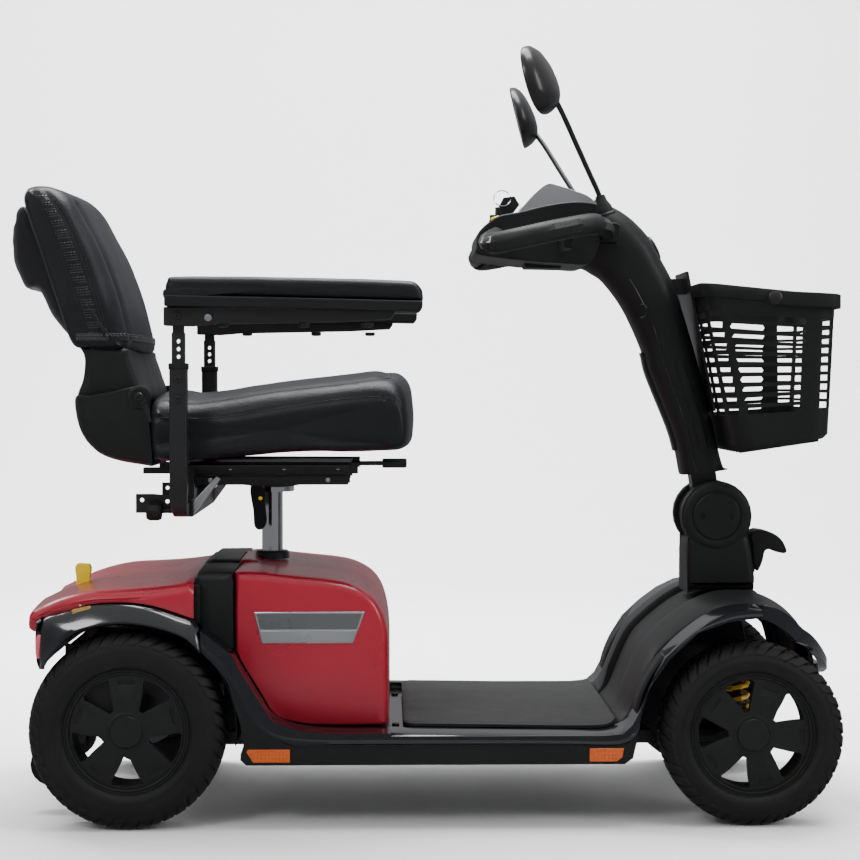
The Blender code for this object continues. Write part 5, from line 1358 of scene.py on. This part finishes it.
def back_pad():
    side = [(-0.4960, 0.6850), (-0.5150, 0.6920), (-0.5330, 0.7410), (-0.5480, 0.7850), (-0.5620, 0.8280),
            (-0.5760, 0.8700), (-0.5840, 0.9000), (-0.5800, 0.9150), (-0.5690, 0.9210), (-0.5470, 0.9200),
            (-0.5210, 0.9040), (-0.5000, 0.8680), (-0.4790, 0.8280), (-0.4640, 0.7900), (-0.4530, 0.7560),
            (-0.4440, 0.7200), (-0.4385, 0.6930), (-0.4440, 0.6840), (-0.4700, 0.6830)]
    outline = [tuple(p) for p in curve_through(side, 120, closed=True)]

    def crown(share, n):
        return 0.0150 * (1 - abs(share) ** 2.0) * max(0.0, n[0] - 0.1) * 1.1

    cushion = pillow("back_pad", outline, 0.2055, 0.0300, VINYL, None,
                     lambda n: 0.30 + 0.70 * max(0.0, 0.8 * n[0] + 0.6 * n[1]), crown, steps=9,
                     rows_between=30, angle=60)
    upholster(cushion, 0.0020, 0.08)
    for tag, y in SIDES.items():
        first = [(-0.5660, y, 0.9080), (-0.5480, y, 0.8700), (-0.5300, y, 0.8250), (-0.5140, y, 0.7800),
                 (-0.4990, y, 0.7350),
                 (-0.4900, y, 0.7000)]
        second = [(-0.5480, y, 0.9080), (-0.5220, y, 0.8700), (-0.5020, y, 0.8250), (-0.4860, y, 0.7800),
                  (-0.4730, y, 0.7350),
                  (-0.4650, y, 0.7000)]
        seam(f"back_seam_a_{tag}", cushion, first, (0, -y, 0), "back", 0.006, 0.0022)
        seam(f"back_seam_b_{tag}", cushion, second, (0, -y, 0), "back", 0.006, 0.0022)
        inner = [(-0.40, y * 0.1560, z) for z in np.linspace(0.7050, 0.8950, 12)]
        seam(f"back_front_seam_{tag}", cushion, inner, (-1, 0, 0), "back", 0.010, 0.0065, False)
        ribs = []
        for k in range(46):
            share = (k + 0.5) / 46
            a = curve_through(first, 60)[int(share * 59)]
            b = curve_through(second, 60)[int(share * 59)]
            gap = [Vector(a).lerp(Vector(b), t) for t in (0.16, 0.5, 0.84)]
            landed = on_skin(cushion, gap, (0, -y, 0), 0.0001)
            if len(landed) == 3:
                ribs.append(tube(f"stripe_{k}", [p for p, _ in landed], 0.0009, CARBON, None, 6))
        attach(join(f"back_stripe_{tag}", ribs), "back")
    height = 0.7010
    right = on_skin(cushion, [(x, -0.3, height) for x in np.linspace(-0.5060, -0.4600, 14)], (0, 1, 0),
                    0.0006)
    front = on_skin(cushion, [(-0.2, y, height) for y in np.linspace(-0.1880, 0.1880, 44)], (-1, 0, 0),
                    0.0006)
    left = on_skin(cushion, [(x, 0.3, height) for x in np.linspace(-0.4600, -0.5060, 14)], (0, -1, 0),
                   0.0006)
    around = [tuple(p) for p, _ in right + front + left]
    sweep("back_hem", curve_through(around, 150), rounded_box(0.0012, 0.0055, 0.0011), CARBON, "back")
    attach(cushion, "back")
    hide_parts("backrest_cushion")


def back_pouch():
    side = [(-0.5850, 0.8860), (-0.5960, 0.8970), (-0.6060, 0.8870), (-0.6105, 0.8700), (-0.6115, 0.8450),
            (-0.6100, 0.8180),
            (-0.6020, 0.7940), (-0.5930, 0.7750), (-0.5740, 0.7730), (-0.5600, 0.7480), (-0.5420, 0.7200),
            (-0.5260, 0.7020),
            (-0.5160, 0.7030), (-0.5300, 0.7450), (-0.5480, 0.7960), (-0.5640, 0.8450), (-0.5760, 0.8770)]
    outline = [tuple(p) for p in curve_through(side, 90, closed=True)]
    pouch = pillow("rear_pouch", outline, 0.1300, 0.0110, CLOTH, None, lambda n: 1.0 if n[0] < 0 else 0.4,
                   None, steps=6,
                   rows_between=24, angle=60)
    upholster(pouch, 0.0045, 0.040)
    hem = [(-0.6300, y, 0.8760) for y in np.linspace(-0.118, 0.118, 16)]
    seam("pouch_hem", pouch, hem, (1, 0, 0), "back", 0.006, 0.0030, False)
    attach(pouch, "back")
    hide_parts("backrest_pouch")


def arm_pads():
    for tag, side in SIDES.items():
        profile = [(-0.3690, 0.7600), (-0.3690, 0.7740), (-0.3650, 0.7810), (-0.3560, 0.7850), (-0.2600,
                                                                                                0.7850),
                   (-0.1200, 0.7825), (-0.0300, 0.7795), (-0.0150, 0.7755), (-0.0070, 0.7660), (-0.0062,
                                                                                                0.7580),
                   (-0.0070, 0.7500), (-0.0300, 0.7510), (-0.1900, 0.7550), (-0.3600, 0.7590)]
        outline = [tuple(p) for p in curve_through(profile, 150, closed=True)]
        pad = pillow(f"arm_pad_{tag}", outline, 0.0300, 0.0105, VINYL, None, lambda n: 1.0, None, steps=6,
                     middle=side * 0.260,
                     rows_between=6, angle=60)
        upholster(pad, 0.0010, 0.06)
        base = [(-0.3705, 0.7430), (-0.3705, 0.7592), (-0.1900, 0.7552), (-0.0062, 0.7508), (-0.0070,
                                                                                             0.7400),
                (-0.0120, 0.7350), (-0.1800, 0.7395)]
        low, high = sorted((side * 0.2292, side * 0.2908))
        extrude(f"arm_base_{tag}", base, low, high, MATTE, f"armrest_body_{tag}", "Y", 0.0022, 3)
        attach(pad, f"armrest_body_{tag}")
        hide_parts(f"armrest_{tag}")
        body = f"armrest_body_{tag}"
        half = 0.0140
        for n, y in enumerate((-half, half - 0.0080)):
            plate = [(-0.3730, 0.7160), (-0.3730, 0.7425), (-0.0500, 0.7425), (-0.0460, 0.7340), (-0.0520,
                                                                                                  0.7250),
                     (-0.1200, 0.7215), (-0.3000, 0.7180), (-0.3350, 0.7150)]
            low, high = side * 0.260 + y, side * 0.260 + y + 0.0080
            extrude(f"arm_channel_{n}_{tag}", plate, low, high, STEEL, body, "Y", 0.0016, 3)
        block(f"arm_plate_{tag}", (-0.3150, side * 0.260 - 0.0220, 0.7390), (-0.0600,
                                                                             side * 0.260 + 0.0220,
                                                                             0.7426), STEEL,
              body, 0.001)
        for n, x in enumerate((-0.2900, -0.1750, -0.0850)):
            lathe(f"arm_knob_{n}_{tag}", [(0.0085, 0.0), (0.0085, 0.0045), (0.0060, 0.0062), (0.0, 0.0064)],
                  (x, side * 0.260, 0.7200), (x, side * 0.260, 0.7000), STEEL, body, 20)
        for n, (x, z) in enumerate(((-0.3530, 0.7290), (-0.3100, 0.7270))):
            at = (x, side * (0.260 + 0.0138), z)
            bolt(f"arm_bolt_{n}_{tag}", at, (0, side, 0), 0.0058, CHROME if n else STEEL, body)


def arm_posts():
    for tag, side in SIDES.items():
        sleeve = [(-0.353, side * 0.260, 0.6620), (-0.353, side * 0.260, 0.6500), (-0.353, side * 0.260,
                                                                                   0.5200), (-0.353,
                                                                                             side * 0.260,
                                                                                             0.4840)]
        for a in np.linspace(0.15, math.pi / 2, 9):
            sleeve.append((-0.353, side * (0.260 - 0.0260 + 0.0260 * math.cos(a)),
                           0.4800 - 0.0270 * math.sin(a)))
        sleeve += [(-0.353, side * 0.2150, 0.4530), (-0.353, side * 0.0550, 0.4530)]
        scale = [(1.0, 1.0)] * 4 + [(1.0 - 0.22 * k / 9,) * 2 for k in range(1, 10)] + [(0.76, 0.76)] * 2
        post = sweep(f"arm_tube_{tag}", sleeve, rounded_box(0.0125, 0.0125, 0.0028), STEEL, f"arm_{tag}",
                     up=(1, 0, 0),
                     scale=scale, angle=30)
        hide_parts(f"arm_sleeve_{tag}")
        block(f"sleeve_mouth_{tag}", (-0.3665, side * 0.260 - 0.0136, 0.6540), (-0.3395,
                                                                                side * 0.260 + 0.0136,
                                                                                0.6630), DARK,
              f"arm_{tag}", 0.0015)
        for n, z in enumerate((0.6400, 0.6120)):
            bolt(f"sleeve_bolt_{n}_{tag}", (-0.353, side * 0.2722, z), (0, side, 0), 0.0056, STEEL,
                 f"arm_{tag}")
        inner = sweep(f"arm_bar_{tag}", [(-0.353, side * 0.260, 0.4900), (-0.353, side * 0.260, 0.7060)],
                      rounded_box(0.0092, 0.0092, 0.0018), STEEL, None, up=(1, 0, 0), angle=30)
        holes = [lathe(f"bar_hole_{k}", [(0.0032, 0.0), (0.0032, 0.05)], (-0.353, side * 0.285,
                                                                          0.6720 + 0.0110 * k),
                       (-0.353, side * 0.2, 0.6720 + 0.0110 * k), STEEL, None, 14) for k in range(3)]
        boolean(inner, holes, angle=30)
        tongue = block("tongue", (-0.3610, side * 0.260 - 0.0042, 0.7000), (-0.3450,
                                                                            side * 0.260 + 0.0042,
                                                                            0.7370), STEEL,
                       None, 0)
        inner = join(f"arm_bar_{tag}", [inner, tongue])
        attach(inner, f"arm_post_{tag}")
        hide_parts(f"arm_upright_{tag}")
        plate = [(-0.4240, 0.4450), (-0.3660, 0.4450), (-0.3660, 0.4700), (-0.3980, 0.4730), (-0.4240,
                                                                                              0.4730)]
        low, high = sorted((side * 0.1760, side * 0.1790))
        holed = extrude(f"holed_plate_{tag}", plate, low, high, STEEL, None)
        cuts = [lathe(f"plate_hole_{k}", [(0.0030, 0.0), (0.0030, 0.03)], (x, side * 0.19, z), (x,
                                                                                                side * 0.16, z), STEEL,
                      None, 14) for k, (x, z) in enumerate(((-0.4150, 0.4640), (-0.4060, 0.4500),
                                                            (-0.3780, 0.4620)))]
        boolean(holed, cuts)
        bevel(holed, 0.0005, 2)
        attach(holed, "seat")
        lathe(f"lock_knob_{tag}", [(0.0040, 0.0), (0.0040, 0.0180), (0.0130, 0.0195), (0.0150, 0.0240),
                                   (0.0150, 0.0360),
                                   (0.0125, 0.0410), (0.0, 0.0415)], (-0.3660, side * 0.188, 0.4490),
              (-0.4200, side * 0.188, 0.4490), DARK, "seat", 10, angle=20)
        low, high = sorted((side * 0.1000, side * 0.1220))
        block(f"runner_end_{tag}", (-0.4200, low, 0.5000), (-0.3480, high, 0.5090), STEEL, "seat", 0.001)
        bracket = [(-0.3400, 0.4400), (-0.3000, 0.4950), (-0.3060, 0.4990), (-0.3400, 0.4620)]
        low, high = sorted((side * 0.1800, side * 0.1840))
        extrude(f"gusset_{tag}", bracket, low, high, SILVER, "seat", "Y", 0.001)


def seat_mounts():
    outer = [(-0.3960, 0.5145), (-0.4100, 0.5150), (-0.4530, 0.5230), (-0.4820, 0.5370), (-0.5040,
                                                                                          0.5670),
                                                                                          (-0.5110, 0.6130),
             (-0.4900, 0.6180), (-0.4600, 0.6230), (-0.4250, 0.6310), (-0.4080, 0.6300), (-0.4000,
                                                                                          0.6210),
                                                                                          (-0.3985, 0.6060),
             (-0.3990, 0.5900), (-0.3940, 0.5300)]
    outline = [tuple(p) for p in curve_through(outer, 90, closed=True)]
    shell = pillow("hip_shell", outline, 0.2055, 0.0240, MATTE, None, lambda n: max(0.15,
                                                                                    -n[0] * 0.9 - n[1] * 0.4),
                   None, steps=7, rows_between=5)
    inner = [(-0.3700, 0.5205), (-0.4100, 0.5210), (-0.4520, 0.5285), (-0.4780, 0.5410), (-0.4985,
                                                                                          0.5690),
                                                                                          (-0.5050, 0.6130),
             (-0.5050, 0.6700), (-0.3700, 0.6700)]
    cavity = pillow("cavity", inner, 0.1990, 0.0200, MATTE, None, lambda n: max(0.15,
                                                                                -n[0] * 0.9 - n[1] * 0.4),
                                                                                None,
                    steps=6, rows_between=3)
    boolean(shell, [cavity], angle=35)
    bevel(shell, 0.0012, 2, 40)
    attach(shell, "seat")
    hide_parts("seat_shell")
    neck = [(-0.4180, 0.6060), (-0.4360, 0.6000), (-0.4700, 0.6000), (-0.5030, 0.6080), (-0.5075, 0.6180),
            (-0.5000, 0.6380), (-0.4970, 0.6600), (-0.4985, 0.6770),
            (-0.5110, 0.7000), (-0.5360, 0.7700), (-0.5600, 0.8420), (-0.5720, 0.8800), (-0.5640, 0.8820),
            (-0.5480, 0.8320),
            (-0.5250, 0.7600), (-0.5060, 0.7060), (-0.4900, 0.6930), (-0.4400, 0.6870), (-0.4330, 0.6740),
            (-0.4230, 0.6450),
            (-0.4165, 0.6250)]
    outline = [tuple(p) for p in curve_through(neck, 110, closed=True)]
    back = pillow("back_shell", outline, 0.1925, 0.0100, MATTE, "back", lambda n: 1.0, None, steps=5,
                  rows_between=5)
    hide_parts("backrest_shell")
    for tag, side in SIDES.items():
        start, out = Vector((-0.4155, side * 0.2045, 0.6145)), Vector((0, side, 0))
        lathe(f"recline_boss_{tag}", [(0.0170, 0.0), (0.0165, 0.0030), (0.0140, 0.0042), (0.0110, 0.0042),
                                      (0.0105, 0.0034),
                                      (0.0, 0.0034)], start, start + out, MATTE, "seat", 32, angle=28)
        bolt(f"recline_bolt_{tag}", start + out * 0.0030, (0, side, 0), 0.0068, STEEL, "seat", 0.0036)
        strap = [(-0.4170, 0.6120), (-0.4090, 0.5960), (-0.4020, 0.5780), (-0.3960, 0.5780), (-0.4010,
                                                                                              0.5980),
                                                                                              (-0.4080,
                                                                                               0.6150)]
        low, high = sorted((side * 0.2000, side * 0.2085))
        extrude(f"hinge_strap_{tag}", strap, low, high, STEEL, "seat", "Y", 0.001)


def under_seat():
    """Slides, catch and pins below the pan, and the latch lever on the post."""
    for tag, side in SIDES.items():
        y = side * 0.1245
        low, high = sorted((y, y + side * 0.0022))
        extrude(f"upper_runner_{tag}", [(-0.3500, 0.5010), (-0.1000, 0.5000), (-0.1000, 0.5170), (-0.3500,
                                                                                                  0.5180)], low, high,
                STEEL, "seat", "Y", 0.0008)
        for n, x in enumerate(np.linspace(-0.3300, -0.1300, 6)):
            bolt(f"runner_bolt_{n}_{tag}", (x, y + side * 0.0015, 0.5090), (0, side, 0), 0.0042,
                 CHROME if n % 2 else STEEL,
                 "seat")
        low, high = sorted((side * 0.1200, side * 0.1236))
        extrude(f"lower_runner_{tag}", [(-0.3450, 0.4840), (-0.1120, 0.4860), (-0.1120, 0.4970), (-0.3450,
                                                                                                  0.4960)], low, high,
                STEEL, "swivel", "Y", 0.0008)
        for n, x in enumerate((-0.3200, -0.1450)):
            bolt(f"rail_bolt_{n}_{tag}", (x, side * 0.1233, 0.4905), (0, side, 0), 0.0040, CHROME, "swivel")
    coil = [(-0.3050 + 0.045 * t, -0.0850 + 0.0050 * math.cos(t * 90), 0.4950 + 0.0050 * math.sin(t * 90))
            for t in np.linspace(0, 1, 200)]
    tube("catch_spring", coil, 0.0008, CHROME, "swivel", 6)
    tube("catch_wire", [(-0.3300, -0.0850, 0.4900), (-0.2200, -0.0700, 0.4800), (-0.1500, -0.1000, 0.4950),
                        (-0.1150, -0.1100, 0.5120)], 0.0028, STEEL, "swivel", 10, 30)
    lever = [(-0.2640, 0.4765), (-0.2440, 0.4765), (-0.2420, 0.4500), (-0.2400, 0.4240), (-0.2480,
                                                                                          0.4120),
                                                                                          (-0.2580, 0.4170),
             (-0.2600, 0.4400)]
    paddle = extrude("swivel_paddle", [tuple(p) for p in curve_through(lever, 40, closed=True)], -0.0645,
                     -0.0555, DARK,
                     "swivel_release", "Y", 0.0015, 3)
    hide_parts("swivel_lever")
    lathe("swivel_dot", [(0.0030, 0.0), (0.0030, 0.0008), (0.0, 0.0010)], (-0.2490, -0.0645, 0.4600),
          (-0.2490, -0.0700, 0.4600), YELLOW, "swivel_release", 16)
    lathe("post_collar", [(0.0260, 0.0), (0.0260, 0.0100), (0.0235, 0.0125), (0.0200, 0.0125)], (-0.2345,
                                                                                                 0, 0.3640),
          (-0.2345, 0, 0.3800), STEEL, "chassis", 32)
    lathe("slide_grip", [(0.0062, 0.0), (0.0072, 0.0030), (0.0072, 0.0330), (0.0060, 0.0365), (0.0, 0.0370)],
          (-0.0640, -0.1100, 0.5150), (-0.0200, -0.1100, 0.5150), GRIP, "slide_release", 20)


def tail_lever():
    """Yellow freewheel lever with finger ridges."""
    low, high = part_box("freewheel_lever")
    x0, x1, y0, y1, top = low.x - 0.0004, high.x + 0.0004, low.y - 0.0010, high.y + 0.0010, high.z
    handle = [(x0 + 0.004, 0.3040), (x1 - 0.004, 0.3040), (x1 - 0.003, 0.3300), (x1, top - 0.006),
              (x1 - 0.002, top),
              (x0 + 0.003, top + 0.001), (x0, top - 0.004), (x0 + 0.002, 0.3400)]
    grip = extrude("lever_grip", handle, y0, y1, YELLOW, "freewheel", "Y", 0.0018, 3)
    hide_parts("freewheel_lever")
    for n in range(2):
        z = top - 0.0060 - 0.0045 * n
        block(f"lever_ridge_{n}", (x0 - 0.0006, y0 + 0.0015, z - 0.0009), (x1 + 0.0006, y1 - 0.0015,
                                                                           z + 0.0009), YELLOW,
              "freewheel", 0.0005)


def deck_screws():
    for n, y in enumerate((-0.150, 0.150)):
        bolt(f"deck_screw_{n}", (-0.0445, y, 0.1283), (0, 0, 1), 0.0055, STEEL, "chassis")


seat_pad()
back_pad()
back_pouch()
arm_pads()
arm_posts()
seat_mounts()
under_seat()
tail_lever()
deck_screws()


# ---------------------------------------------------------------- frame pieces that stay as modelled
FINISH = {"gloss_red": RED, "gloss_black": GLOSS, "matte_grey": MATTE, "tyre_rubber": RUBBER,
          "roller_rubber": RUBBER,
          "mat_rubber": MAT, "rim_plastic": RIM, "black_steel": STEEL, "chrome": CHROME, "vinyl": VINYL,
          "fabric": CLOTH, "yellow_plastic": YELLOW, "yellow_spring": SPRING, "battery_case": DARK,
          "control_plastic": DARK, "cast_aluminium": ALLOY}


def finish_frame():
    """Material and softened edges on every CAD node."""
    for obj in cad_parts.values():
        slot = obj.data.materials[0].name.split(".")[0]
        obj.data.materials.clear()
        obj.data.materials.append(FINISH[slot])
        obj.data.shade_smooth()
        obj.data.set_sharp_from_angle(angle=math.radians(30))
        bevel(obj, 0.0009, 2, 35)


finish_frame()
